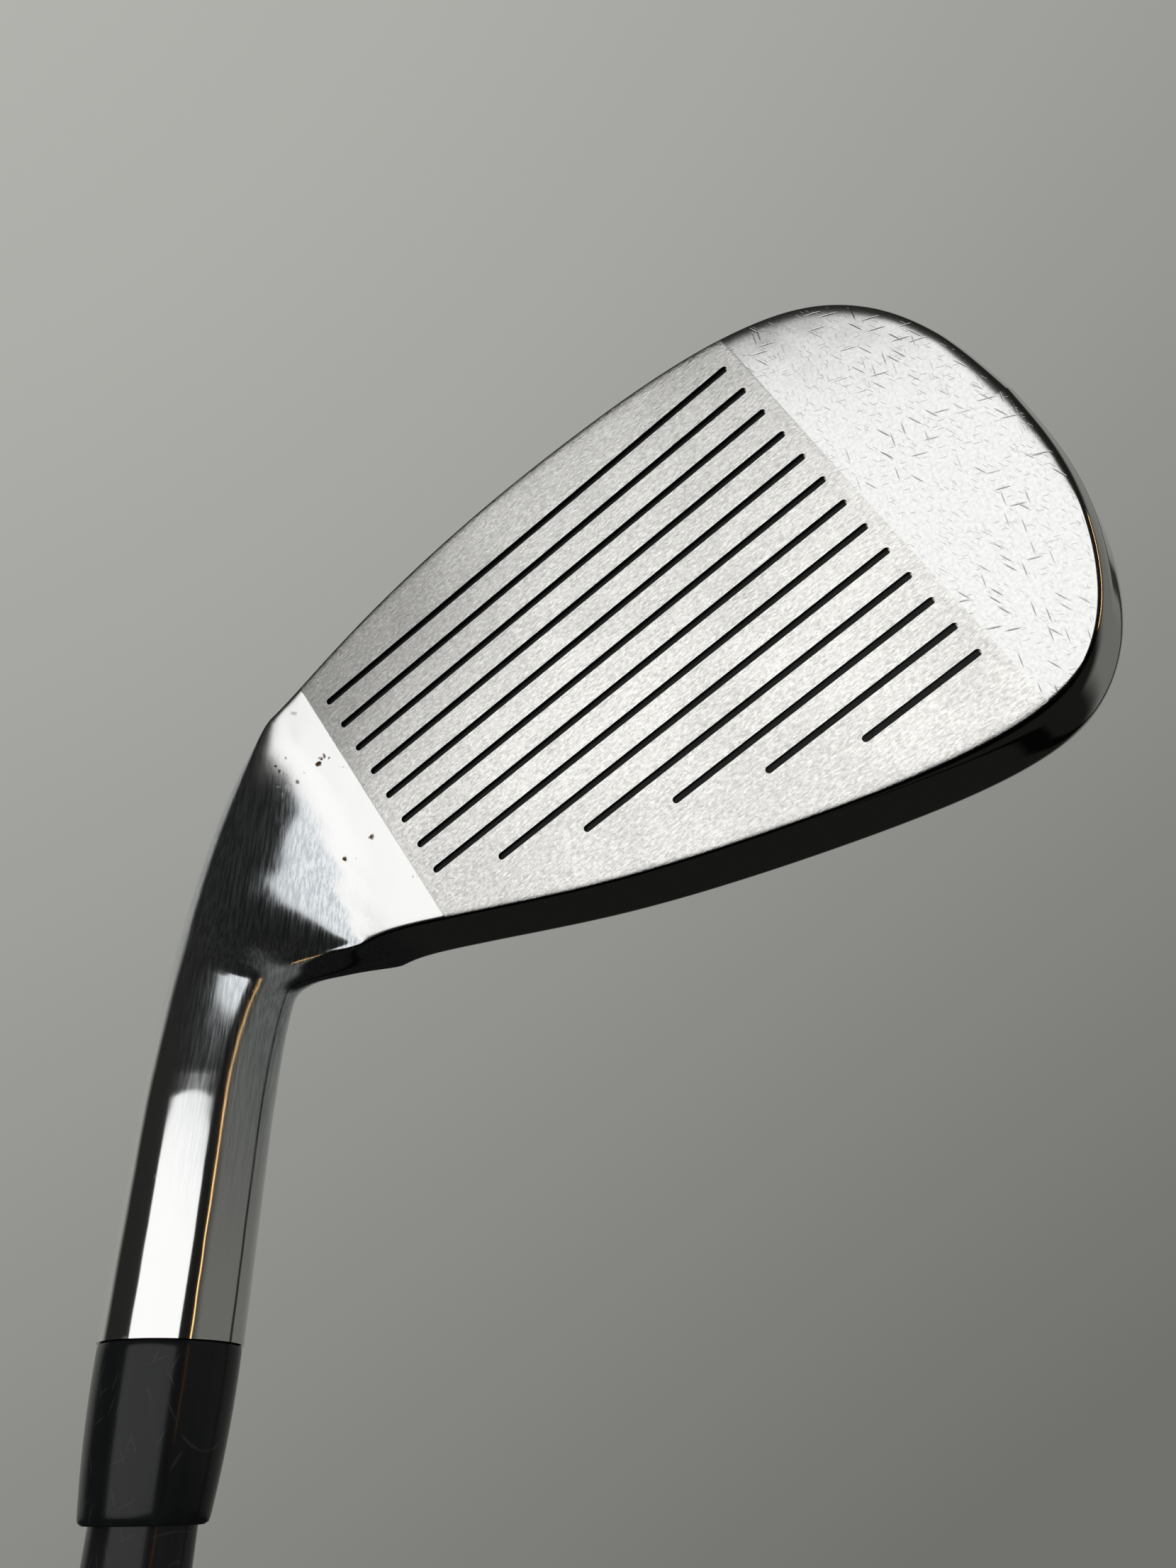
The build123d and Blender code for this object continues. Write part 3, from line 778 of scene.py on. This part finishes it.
def head_controls():
    """Control points of every section of the head, (stations x 24 x 3).

    A section is a closed cubic B-spline. On the hosel its controls stand evenly on an ellipse whose
    width is the distance between the rails. On the blade they follow the flat face, the rolled edge,
    the level sole, the back and the topline. Between the two they mix by a smooth step of the station.
    """
    head = sizes()
    heel_rail, crotch_rail = rails()
    s, heel_share, crotch_share = match_rails(heel_rail, crotch_rail)
    heel_share = np.clip(soften(heel_share, 7), 0, 1)
    crotch_share = np.clip(soften(crotch_share, 7), 0, 1)
    heel, crotch = sample(heel_rail, heel_share), sample(crotch_rail, crotch_share)
    _, heel_out = station_frames(heel_rail)
    _, crotch_out = station_frames(crotch_rail)
    heel_out = sample(-heel_out, heel_share)
    crotch_out = sample(crotch_out, crotch_share)
    toe = smooth_step(s, 0.90, 1.0)
    shared_out = heel_out + crotch_out
    shared_out /= np.linalg.norm(shared_out, axis=1, keepdims=True) + 1e-9
    tip = smooth_step(s, 0.985, 1.0)[:, None]
    heel_out = heel_out * (1 - tip) + shared_out * tip
    crotch_out = crotch_out * (1 - tip) + shared_out * tip
    heel_out /= np.linalg.norm(heel_out, axis=1, keepdims=True)
    crotch_out /= np.linalg.norm(crotch_out, axis=1, keepdims=True)

    # round sections
    middle = (heel + crotch) / 2
    half = (crotch - heel) / 2
    angle = 2 * pi * np.arange(CONTROLS) / CONTROLS
    swell = 6.0 / (4.0 + 2.0 * cos(2 * pi / CONTROLS))
    depth = head.hosel_radius * np.interp(s, [0.0, 0.22, 0.46, 1.0], [1.0, 1.0, 0.80, 0.62])
    centre = np.interp(s, [0.0, 0.20, 0.46, 1.0], [0.0, 0.0, 0.9 * MM, 3.0 * MM])
    wide = swell * np.cos(angle)[None, :, None] * half[:, None, :]
    ring = middle[:, None, :] + wide
    ring_y = centre[:, None] - swell * depth[:, None] * np.sin(angle)[None, :]
    round_points = np.stack([ring[..., 0], ring_y, ring[..., 1]], axis=-1)

    # blade sections
    top_roll = head.edge_roll * np.interp(s, [BLADE_START, 0.70, 0.86, 0.95, 1.0], [0.75, 0.85, 2.5, 3.0, 2.4])
    sole_roll = head.edge_roll * np.interp(s, [BLADE_START, 0.80, 0.95, 1.0], [0.75, 0.85, 1.3, 2.4])
    back_roll = np.interp(s, [BLADE_START, 0.85, 1.0], [2.2, 2.2, 1.5]) * MM
    origin, u, v, _ = face_frame()

    def lift(front, depth_back):
        """Front-view points set back from the face by this level depth."""
        y = face_y(front[:, 0], front[:, 1]) + depth_back
        return np.stack([front[:, 0], y, front[:, 1]], axis=1)

    def face_height(front):
        placed = lift(front, 0.0)
        return (placed - origin) @ v

    thick_heel = blade_thickness(face_height(heel))
    thick_crotch = blade_thickness(face_height(crotch))
    top_lean = tan(radians(8.0)) * (1 - toe) + tan(radians(2.0)) * toe
    sole_lean = tan(radians(2.0))
    crotch_in = crotch - crotch_out * top_roll[:, None]
    heel_in = heel - heel_out * sole_roll[:, None]
    controls = []
    back_top = crotch + crotch_out * (top_lean * thick_crotch)[:, None]
    back_sole = heel + heel_out * (sole_lean * thick_heel)[:, None]

    def edge(front, out, lean, depth_back):
        return lift(front + out * (lean * depth_back)[:, None], depth_back)

    controls.append(edge(crotch, crotch_out, top_lean, thick_crotch / 2))
    controls.append(edge(crotch, crotch_out, top_lean, top_roll * 0.6))
    controls.append(lift(crotch, 0.0))
    for share in np.linspace(0.0, 1.0, 7):
        controls.append(lift(crotch_in * (1 - share) + heel_in * share, 0.0))
    controls.append(lift(heel, 0.0))
    controls.append(edge(heel, heel_out, sole_lean, sole_roll * 0.7))
    controls.append(edge(heel, heel_out, sole_lean, thick_heel / 2))
    heel_back_in = back_sole - heel_out * back_roll[:, None]
    top_back_in = back_top - crotch_out * (back_roll * 0.7)[:, None]
    controls.append(edge(heel, heel_out, sole_lean, thick_heel - back_roll))
    controls.append(lift(back_sole, thick_heel))
    for share in (0.0, 0.12, 0.25, 0.40, 0.55, 0.70, 0.85):
        front = heel_back_in * (1 - share) + top_back_in * share
        controls.append(lift(front, blade_thickness(face_height(front))))
    controls.append(lift(top_back_in, blade_thickness(face_height(top_back_in))))
    controls.append(edge(crotch, crotch_out, top_lean, thick_crotch))
    blade_points = np.stack(controls, axis=1)

    # how far each control is past the flat face's limit, in millimetres towards the hosel
    flat = lift(blade_points[..., [0, 2]].reshape(-1, 2), 0.0).reshape(blade_points.shape) - origin
    past = np.interp(flat @ v / MM, LIMIT_V, LIMIT_U) - flat @ u / MM
    share = np.clip(past / np.interp(flat @ v / MM, LIMIT_V, BLEND_REACH), 0.0, 1.0)
    mix = (1 - share**1.4) ** 1.8
    return round_points * (1 - mix[..., None]) + blade_points * mix[..., None]


def head_surface():
    """The head's outside: sections carried from the hosel's end to the toe's tip, closed at both ends."""
    samples = CONTROLS * ROUND_SECTION
    basis = spline_basis(CONTROLS, samples)
    points = np.einsum("tk,skc->stc", basis, head_controls())
    rows = len(points)
    return new_mesh(
        "forged_head", points.reshape(-1, 3), grid_faces(rows, samples, True), [np.arange(samples)[::-1]]
    )


def slot_cutter(name, centre_u, length, height, width, low, high):
    """A closed prism with a slot for outline: half circles joined by straight sides, between two depths."""
    origin, u, v, back = face_frame()
    steps = 8
    end = np.linspace(-pi / 2, pi / 2, steps)
    half = (length - width) / 2
    right = np.stack([half + width / 2 * np.cos(end), width / 2 * np.sin(end)], axis=1)
    outline = np.concatenate([right, -right])
    rings = []
    for depth in (low, high):
        rings.append(
            origin + (centre_u + outline[:, :1]) * u + (height + outline[:, 1:]) * v + depth * back
        )
    count = len(outline)
    points = np.concatenate(rings)
    ends = [np.arange(count)[::-1], count + np.arange(count)]
    return new_mesh(name, points, grid_faces(2, count, True), ends)


# the upper grooves end on a sloping line: its height at the shortest groove, its slope, and that
# groove's length
GROOVE_LINE = 43.1
GROOVE_SLOPE = 0.375
GROOVE_SHORT = 13.4


def groove_heel_reach(height):
    """How far towards the heel a groove at this height reaches, in metres."""
    line = GROOVE_LINE * MM - height
    return min(bpy.context.scene.club_grooves.length, GROOVE_SHORT * MM + line / GROOVE_SLOPE)


def cut_grooves(head):
    """Cuts the rows of grooves, with round ends, into the face."""
    groove = bpy.context.scene.club_grooves
    for number in range(groove.count):
        height = number * groove.pitch
        reach = groove.length if number < 8 else groove_heel_reach(height)
        cutter = slot_cutter(
            "groove_cutter", groove.width / 2 - reach / 2, reach, height, groove.width, -1.0 * MM,
            groove.depth
        )
        cut_away(head, cutter)


def cut_cavity(head):
    """Cuts the open cavity into the back: a soft-cornered outline carried back from the cavity's floor."""
    origin, u, v, _ = face_frame()
    outline = through(
        [(-55.0, 9.5), (-52.0, 7.2), (-30.0, 7.0), (-4.0, 7.0), (10.5, 7.2), (13.4, 12.0), (14.6, 22.5),
         (13.4, 32.0), (9.5, 40.5), (2.0, 45.0), (-10.0, 43.9), (-25.0, 39.7), (-40.0, 34.2), (-52.0, 29.0),
         (-55.6, 25.0), (-56.2, 17.0), (-55.0, 9.5)], 220
    )[:-1] * MM
    level = np.array([0.0, 1.0, 0.0])
    centre = outline.mean(axis=0)
    rings = []
    # the floor's soft corner, then the wall, then well clear of the back
    for inward, depth in ((1.2, 3.0), (0.35, 3.25), (0.0, 4.1), (0.0, 5.0), (0.0, 30.0)):
        shrunk = centre + (outline - centre) * (1 - inward * MM / 0.02)
        start = depth * MM / cos(sizes().loft)
        rings.append(origin + shrunk[:, :1] * u + shrunk[:, 1:] * v + level * start)
    count = len(outline)
    points = np.concatenate(rings)
    last = (len(rings) - 1) * count + np.arange(count)
    ends = [np.arange(count)[::-1], last]
    cutter = new_mesh("cavity_cutter", points, grid_faces(len(rings), count, True), ends)
    cut_away(head, cutter)


def cut_bore(head):
    """Cuts the shaft's bore into the hosel's end, with a small bevel at its mouth."""
    bore = 4.8 * MM
    cutter = turned(
        "bore_cutter",
        [(bore + 1.4 * MM, HOSEL_END - 1.0 * MM), (bore + 0.4 * MM, HOSEL_END), (bore, HOSEL_END + 0.4 * MM),
         (bore, HOSEL_END + 32.0 * MM)],
        64,
    )
    cut_away(head, cutter)


class CLUB_OT_head(bpy.types.Operator):
    """Builds the forged head with its grooves, cavity and bore"""

    bl_idname = "club.head"
    bl_label = "Head"

    def execute(self, context):
        head = head_surface()
        cut_cavity(head)
        cut_bore(head)
        cut_grooves(head)
        head.data.shade_smooth()
        head.data.set_sharp_from_angle(angle=radians(32))
        finish_piece(head, head_steel(shared_groups()), "head_steel", "iron_head")
        return {"FINISHED"}


# --- ferrule, shaft and band ------------------------------------------------------------------------
class CLUB_OT_ferrule(bpy.types.Operator):
    """Builds the tapered plastic ferrule under the hosel"""

    bl_idname = "club.ferrule"
    bl_label = "Ferrule"

    def execute(self, context):
        low, high = FERRULE_BOX[0][2], FERRULE_BOX[1][2]
        wide = FERRULE_BOX[1][0]
        narrow = wide - 0.9 * MM
        bore = TIP_RADIUS
        share = np.linspace(0.0, 1.0, 24)[:, None]
        # the flank bows outwards: the radius falls with the square of the way down
        flank = np.concatenate(
            [wide - (wide - narrow) * share**2, high - 0.35 * MM - (high - low - 0.95 * MM) * share], axis=1
        )
        rim = [(bore, high), (wide - 0.35 * MM, high), (wide - 0.08 * MM, high - 0.1 * MM)]
        foot = [(narrow - 0.12 * MM, low + 0.22 * MM), (narrow - 0.45 * MM, low), (bore, low)]
        profile = np.concatenate([rim, flank, foot])
        ferrule = tube("ferrule_turned", profile, 128)
        ferrule.data.set_sharp_from_angle(angle=radians(50))
        plastic = gloss_black("Gloss black plastic", colours().ferrule, shared_groups(), 900.0)
        finish_piece(ferrule, plastic, "ferrule_plastic", "ferrule")
        return {"FINISHED"}


def tube(name, profile, around=96):
    """A ring-shaped solid: a closed profile of (radius, z) points swept about the shaft's axis."""
    profile = np.asarray(profile, float)
    closed = np.concatenate([profile, profile[:1]])
    angle = np.linspace(0.0, 2.0 * pi, around, endpoint=False)
    points = np.stack(
        [closed[:, :1] * np.cos(angle), closed[:, :1] * np.sin(angle), closed[:, 1:] + 0.0 * angle], axis=-1
    )
    return new_mesh(name, points.reshape(-1, 3), grid_faces(len(closed), around, True))


def shaft_radius(z):
    """The shaft's outside radius: the butt's, then a straight taper, then the tip's."""
    taper_foot, taper_top = 183.2 * MM, SHAFT_BOX[1][2] - 203.0 * MM
    return np.interp(z, [taper_foot, taper_top], [SHAFT_BOX[1][0], TIP_RADIUS])


class CLUB_OT_shaft(bpy.types.Operator):
    """Builds the tapered shaft and the film band round it"""

    bl_idname = "club.shaft"
    bl_label = "Shaft and band"

    def execute(self, context):
        low, high = SHAFT_BOX[0][2], SHAFT_BOX[1][2]
        z = np.concatenate([np.linspace(low, high - 0.6 * MM, 160), [high - 0.2 * MM, high]])
        outside = shaft_radius(z)
        outside[-2:] -= (0.08 * MM, 0.35 * MM)
        inside = outside - np.interp(z, [low, high], [1.1 * MM, 1.6 * MM])
        inside[-2:] = inside[-3]
        profile = np.concatenate([np.stack([outside, z], 1), np.stack([inside, z], 1)[::-1]])
        shaft = tube("shaft_blank", profile, 96)
        shaft.data.set_sharp_from_angle(angle=radians(50))
        lacquer = gloss_black("Black lacquer", colours().lacquer, shared_groups(), 1500.0)
        finish_piece(shaft, lacquer, "shaft_lacquer", "shaft")
        low, high = BAND_BOX[0][2], BAND_BOX[1][2]
        film = 0.15 * MM
        corners = [(shaft_radius(low) + 0.01 * MM, low), (shaft_radius(low) + film, low),
                   (shaft_radius(high) + film, high), (shaft_radius(high) + 0.01 * MM, high)]
        band = tube("band_film", rounded_profile(corners, (0.06 * MM, 0.06 * MM), 5), 96)
        satin = brushed_metal("Satin grey film", (0.32, 0.33, 0.35), shared_groups(), 0.42)
        finish_piece(band, satin, "band_film", "shaft_band")
        return {"FINISHED"}


# --- grip -------------------------------------------------------------------------------------------
def grip_outline(z):
    """The sleeve's outside radius: a circle-like bow from the mouth to the butt, drawn as a quadratic."""
    low, high = SLEEVE_BOX[0][2], SLEEVE_BOX[1][2]
    share = (z - low) / (high - low)
    butt, mouth = SLEEVE_BOX[1][0], 9.3 * MM
    middle = 0.55 * mouth + 0.45 * butt
    return butt + (4 * middle - 3 * butt - mouth) * share + (2 * butt + 2 * mouth - 4 * middle) * share**2


def grip_relief(z, angle):
    """Depth of the sleeve's moulded pattern: small diamonds in panels, with rings of grooves between them.

    Diamonds are the product of two sets of crossing waves, cos(n a + k z) and cos(n a - k z), clipped to
    flat tops. Panels are smooth steps along z, and rings are narrow bumps at even distances.
    """
    low, high = SLEEVE_BOX[0][2], SLEEVE_BOX[1][2]
    cells, pitch = 14, 2 * pi / (5.0 * MM)
    waves = np.cos(cells * angle + pitch * z) * np.cos(cells * angle - pitch * z)
    diamonds = np.clip(waves * 1.6, -1.0, 0.35)
    inside = smooth_step(z, low + 16 * MM, low + 18 * MM)
    inside = inside * (1 - smooth_step(z, high - 26 * MM, high - 24 * MM))
    panel = 52.0 * MM
    phase = np.mod(z - low - 17 * MM, panel)
    between = smooth_step(phase, 0.0, 1.5 * MM) * (1 - smooth_step(phase, panel - 9 * MM, panel - 7.5 * MM))
    ring_at = np.mod(phase - (panel - 6.0 * MM), panel)
    rings = np.exp(-((ring_at - 1.0 * MM) / (0.5 * MM)) ** 2)
    rings = rings + np.exp(-((ring_at - 3.4 * MM) / (0.5 * MM)) ** 2)
    return 0.28 * MM * (diamonds - 0.35) * between * inside - 0.35 * MM * rings * inside


class CLUB_OT_grip(bpy.types.Operator):
    """Builds the rubber sleeve with its moulded pattern and the cap at its butt"""

    bl_idname = "club.grip"
    bl_label = "Grip and cap"

    def execute(self, context):
        low, high = SLEEVE_BOX[0][2], SLEEVE_BOX[1][2]
        around = 180
        rows = 420
        z = np.concatenate([[low], np.linspace(low + 0.3 * MM, high - 0.6 * MM, rows)])
        angle = np.linspace(0.0, 2.0 * pi, around, endpoint=False)
        zz, aa = np.meshgrid(z, angle, indexing="ij")
        radius = grip_outline(zz) + grip_relief(zz, aa)
        mouth_z = high - 0.6 * MM + np.array([0.25, 0.45, 0.56, 0.6]) * MM
        mouth_r = radius[-1].mean() - np.array([0.05, 0.2, 0.42, 0.75]) * MM
        inner = [(shaft_radius(high) + 0.05 * MM, high),
                 (shaft_radius(high - 20 * MM) + 0.25 * MM, high - 20 * MM),
                 (SHAFT_BOX[1][0] + 0.25 * MM, low)]
        extra = np.concatenate([np.stack([mouth_r, mouth_z], 1), inner])
        radius = np.concatenate([radius, np.repeat(extra[:, :1], around, axis=1), radius[:1]])
        height = np.concatenate([zz, np.repeat(extra[:, 1:], around, axis=1), zz[:1]])
        points = np.stack([radius * np.cos(angle), radius * np.sin(angle), height], axis=-1).reshape(-1, 3)
        sleeve = new_mesh("rubber_sleeve", points, grid_faces(len(radius), around, True))
        sleeve.data.set_sharp_from_angle(angle=radians(60))
        rubber = moulded_rubber("Grip rubber", colours().grip, shared_groups())
        finish_piece(sleeve, rubber, "grip_rubber", "grip_sleeve")
        wide = CAP_BOX[1][0]
        lip = 5.6 * MM
        corners = [(VENT_RADIUS, 0.0), (wide - 3.4 * MM, 0.0), (wide - 2.9 * MM, 0.35 * MM),
                   (wide - 2.3 * MM, 0.0), (wide, 0.0),
                   (wide, lip), (SLEEVE_BOX[1][0] + 0.02 * MM, lip), (SLEEVE_BOX[1][0] + 0.02 * MM, 3.2 * MM),
                   (6.4 * MM, 3.2 * MM), (6.4 * MM, CAP_BOX[1][2]), (VENT_RADIUS, CAP_BOX[1][2])]
        rolls = (0.2, 0.25, 0.2, 0.9, 0.45, 0.1, 0.2, 0.2, 0.3)
        cap = tube("butt_cap", rounded_profile(corners, [r * MM for r in rolls], 6), 128)
        cap.data.set_sharp_from_angle(angle=radians(50))
        cap_rubber = moulded_rubber("Cap rubber", colours().grip, shared_groups(), 0.5)
        finish_piece(cap, cap_rubber, "grip_rubber", "grip_cap")
        return {"FINISHED"}


# --- the layers on the cavity's floor and the hidden pieces -----------------------------------------
def badge_layer(name, low, high, roll):
    """A flat plate: a round-cornered oblong carried from one depth to another, its outer edge rolled."""
    origin, u, v, _ = face_frame()
    level = np.array([0.0, 1.0, 0.0])
    length, height, corner = 48.0, 14.0, 3.0
    quarter = np.linspace(0.0, pi / 2, 9)
    arcs = []
    for turn, (sx, sy) in enumerate(((1, 1), (-1, 1), (-1, -1), (1, -1))):
        a = quarter + turn * pi / 2
        along = sx * (length / 2 - corner) + corner * np.cos(a)
        upwards = sy * (height / 2 - corner) + corner * np.sin(a)
        arcs.append(np.stack([along, upwards], 1))
    outline = np.concatenate(arcs)
    outwards = outline / np.linalg.norm(outline, axis=1, keepdims=True)
    rings = []
    for inward, depth in ((0.0, low), (0.0, high - roll), (0.3 * roll, high - 0.3 * roll), (roll, high)):
        place = (outline - outwards * inward + np.array([-28.5, 15.4])) * MM
        rings.append(origin + place[:, :1] * u + place[:, 1:] * v + level * depth * MM / cos(sizes().loft))
    count = len(outline)
    last = (len(rings) - 1) * count + np.arange(count)
    ends = [np.arange(count)[::-1], last]
    piece = new_mesh(name, np.concatenate(rings), grid_faces(len(rings), count, True), ends)
    piece.data.set_sharp_from_angle(angle=radians(50))
    return piece


class CLUB_OT_badge(bpy.types.Operator):
    """Builds the plain badge, its damper pad and their adhesive on the cavity's floor"""

    bl_idname = "club.badge"
    bl_label = "Cavity badge"

    def execute(self, context):
        groups = shared_groups()
        adhesive = badge_layer("foam_adhesive", 3.0, 3.25, 0.02)
        foam = plain_filler("Foam adhesive", (0.6, 0.6, 0.57), (0.85, 0.85, 0.82), 900.0, 0.8, 0.00005)
        finish_piece(adhesive, foam, "adhesive_pad", "badge_adhesive")
        damper = badge_layer("damper_layer", 3.25, 4.25, 0.15)
        rubber = moulded_rubber("Damper rubber", (0.03, 0.03, 0.03), groups, 0.75)
        finish_piece(damper, rubber, "damper_rubber", "damper_pad")
        badge = badge_layer("badge_plate", 4.25, 4.85, 0.2)
        brushed = brushed_metal("Brushed aluminium", (0.55, 0.56, 0.58), groups)
        finish_piece(badge, brushed, "badge_metal", "cavity_badge")
        return {"FINISHED"}


class CLUB_OT_hidden(bpy.types.Operator):
    """Gives the glued and hidden pieces their materials"""

    bl_idname = "club.hidden"
    bl_label = "Hidden pieces"

    def execute(self, context):
        finishes = {
            "hosel_epoxy": plain_filler(
                "Cured epoxy", (0.55, 0.52, 0.40), (0.75, 0.72, 0.60), 300.0, 0.35, 0.00003
            ),
            "tip_weight": brushed_metal(
                "Turned brass", (0.70, 0.52, 0.25), shared_groups(), 0.3, (1.0, 1.0, 0.05)
            ),
            "shaft_cork": plain_filler("Cork", (0.32, 0.20, 0.11), (0.58, 0.41, 0.25), 700.0, 0.85, 0.0002),
            "grip_tape": plain_filler(
                "Paper tape", (0.70, 0.66, 0.56), (0.84, 0.80, 0.70), 1200.0, 0.85, 0.00004
            ),
        }
        for name, material in finishes.items():
            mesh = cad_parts[name].data
            mesh.materials.clear()
            mesh.materials.append(material)
        return {"FINISHED"}


# --- stage ------------------------------------------------------------------------------------------
def soft_panel(name, place, target, width, height, power, colour=(1.0, 1.0, 1.0)):
    """A rectangular soft light that looks at its target."""
    light = bpy.data.lights.new(name, "AREA")
    light.shape = "RECTANGLE"
    light.size, light.size_y = width, height
    light.energy = power
    light.color = colour
    holder = bpy.data.objects.new(name, light)
    way = Vector(target) - Vector(place)
    turned = way.to_track_quat("-Z", "Y").to_matrix().to_4x4()
    holder.matrix_world = Matrix.Translation(Vector(place)) @ turned
    holder.visible_camera = False
    bpy.context.scene.collection.objects.link(holder)


def studio_world():
    """A grey room: what the camera sees is a soft gradient, and what the metal mirrors has dark sides too.

    The gradient is a smooth step of the direction's dot product with the bright corner's direction. In
    reflections the room is dark in front of the club and below it, so the edges and the hosel get
    their dark bands between the soft panel and the grey behind.
    """
    world = bpy.data.worlds.new("Studio grey")
    bpy.context.scene.world = world
    world.use_nodes = True
    nodes = Nodes(world.node_tree)
    way = nodes.add("ShaderNodeTexCoord").outputs["Generated"]
    bright = nodes.ramp(nodes.dot(way, (-0.45, -0.35, 0.82)), -0.25, 0.95, 0.165, 0.47, smooth=False)
    paint = nodes.mix(bright, rgba((0.0, 0.0, 0.0)), rgba((0.99, 1.0, 0.935)))
    front = nodes.ramp(nodes.dot(way, (0.0, 1.0, 0.0)), -0.32, -0.02, 0.05, 1.0)
    below = nodes.ramp(nodes.dot(way, (0.0, 0.0, 1.0)), -0.30, -0.02, 0.06, 1.0)
    # a narrow dark gap behind the club's toe side, which draws a thin line along the hosel
    beside = nodes.math("ABSOLUTE", nodes.dot(way, (-0.875, 0.485, 0.0)))
    gap = nodes.ramp(beside, 0.03, 0.07, 0.12, 1.0)
    gap = nodes.math("MAXIMUM", gap, nodes.ramp(nodes.dot(way, (0.0, 1.0, 0.0)), 0.3, 0.1))
    below = nodes.math("MULTIPLY", below, gap)
    mirrored = nodes.add("ShaderNodeLightPath").outputs["Is Glossy Ray"]
    plain = nodes.math("SUBTRACT", 1.0, mirrored)
    strength = nodes.math("MAXIMUM", nodes.math("MULTIPLY", front, below), plain)
    backdrop = world.node_tree.nodes["Background"]
    nodes.put(backdrop.inputs["Color"], paint)
    nodes.put(backdrop.inputs["Strength"], strength)


def floor_material():
    """Pale matt paint with a faint cloud of tone."""
    material, nodes, shader, place = new_material("Pale floor")
    cloud = nodes.noise(place, 3.0, detail=3.0)
    paint = nodes.mix(cloud, rgba((0.74, 0.74, 0.725)), rgba((0.82, 0.82, 0.805)))
    nodes.put(shader.inputs["Base Color"], paint)
    shader.inputs["Roughness"].default_value = 0.8
    return material


class CLUB_OT_stage(bpy.types.Operator):
    """Lays the floor, hangs the lights and sets the camera"""

    bl_idname = "club.stage"
    bl_label = "Stage"

    def execute(self, context):
        size = 6.0
        line = np.linspace(-size, size, 3)
        x, y = np.meshgrid(line, line, indexing="ij")
        points = np.stack([x, y, 0.0 * x - 0.0005], axis=-1).reshape(-1, 3)
        floor = new_mesh("floor", points, grid_faces(3, 3, False))
        floor.data.materials.append(floor_material())
        floor.visible_glossy = False
        studio_world()
        origin, u, v, back = face_frame()
        face = origin - u * 0.022 + v * 0.02
        panel = face + np.array([0.285, -1.06, -0.12])
        soft_panel("front_softbox", panel, face, 1.85, 0.86, 6.0)
        warm = np.array([0.0, 0.0, face[2]]) + np.array([1.06, -0.29, 0.05])
        soft_panel("warm_strip", warm, (0.0, 0.0, face[2]), 0.03, 0.5, 0.12, (1.0, 0.60, 0.25))
        bpy.context.scene.view_settings.view_transform = "Standard"
        self.set_camera(origin, u, v, back)
        return {"FINISHED"}

    @staticmethod
    def set_camera(origin, u, v, back):
        """The camera looks up at the face from the heel side and a little above the topline."""
        right = 0.77487 * u + 0.54772 * v + 0.31555 * back
        down = -0.61513 * u + 0.76832 * v + 0.17691 * back
        forward = -0.14554 * u - 0.33119 * v + 0.93227 * back
        eye = origin + (-20.83 * u + 70.04 * v - 117.91 * back) * MM
        camera = bpy.data.cameras.new("Camera")
        camera.sensor_fit = "VERTICAL"
        camera.sensor_height = 36.0
        camera.lens = 27.03
        camera.clip_start = 0.005
        holder = bpy.data.objects.new("Camera", camera)
        turn = Matrix([[right[i], -down[i], -forward[i]] for i in range(3)])
        holder.matrix_world = Matrix.Translation(Vector(eye)) @ turn.to_4x4()
        bpy.context.scene.collection.objects.link(holder)
        bpy.context.scene.camera = holder


# --- panel and registration -------------------------------------------------------------------------
OPERATORS = (
    CLUB_OT_head, CLUB_OT_ferrule, CLUB_OT_shaft, CLUB_OT_grip, CLUB_OT_badge, CLUB_OT_hidden, CLUB_OT_stage,
)
GROUPS = (ClubHeadSizes, GrooveSizes, ClubColours)


class CLUB_PT_panel(bpy.types.Panel):
    """Lists the sizes, the colours and the operators"""

    bl_label = "Golf club"
    bl_idname = "CLUB_PT_panel"
    bl_space_type = "VIEW_3D"
    bl_region_type = "UI"
    bl_category = "Golf club"

    def draw(self, context):
        for group in (context.scene.club_head, context.scene.club_grooves, context.scene.club_colours):
            box = self.layout.box()
            for name in group.__annotations__:
                box.prop(group, name)
        for operator in OPERATORS:
            self.layout.operator(operator.bl_idname)


def register():
    """Registers the property groups, the operators and the panel."""
    for item in (*GROUPS, *OPERATORS, CLUB_PT_panel):
        bpy.utils.register_class(item)
    bpy.types.Scene.club_head = bpy.props.PointerProperty(type=ClubHeadSizes)
    bpy.types.Scene.club_grooves = bpy.props.PointerProperty(type=GrooveSizes)
    bpy.types.Scene.club_colours = bpy.props.PointerProperty(type=ClubColours)


def unregister():
    """Takes back what register did."""
    del bpy.types.Scene.club_colours
    del bpy.types.Scene.club_grooves
    del bpy.types.Scene.club_head
    for item in reversed((*GROUPS, *OPERATORS, CLUB_PT_panel)):
        bpy.utils.unregister_class(item)


def main():
    register()
    for operator in OPERATORS:
        group, name = operator.bl_idname.split(".")
        getattr(getattr(bpy.ops, group), name)()


if __name__ == "__main__":
    main()
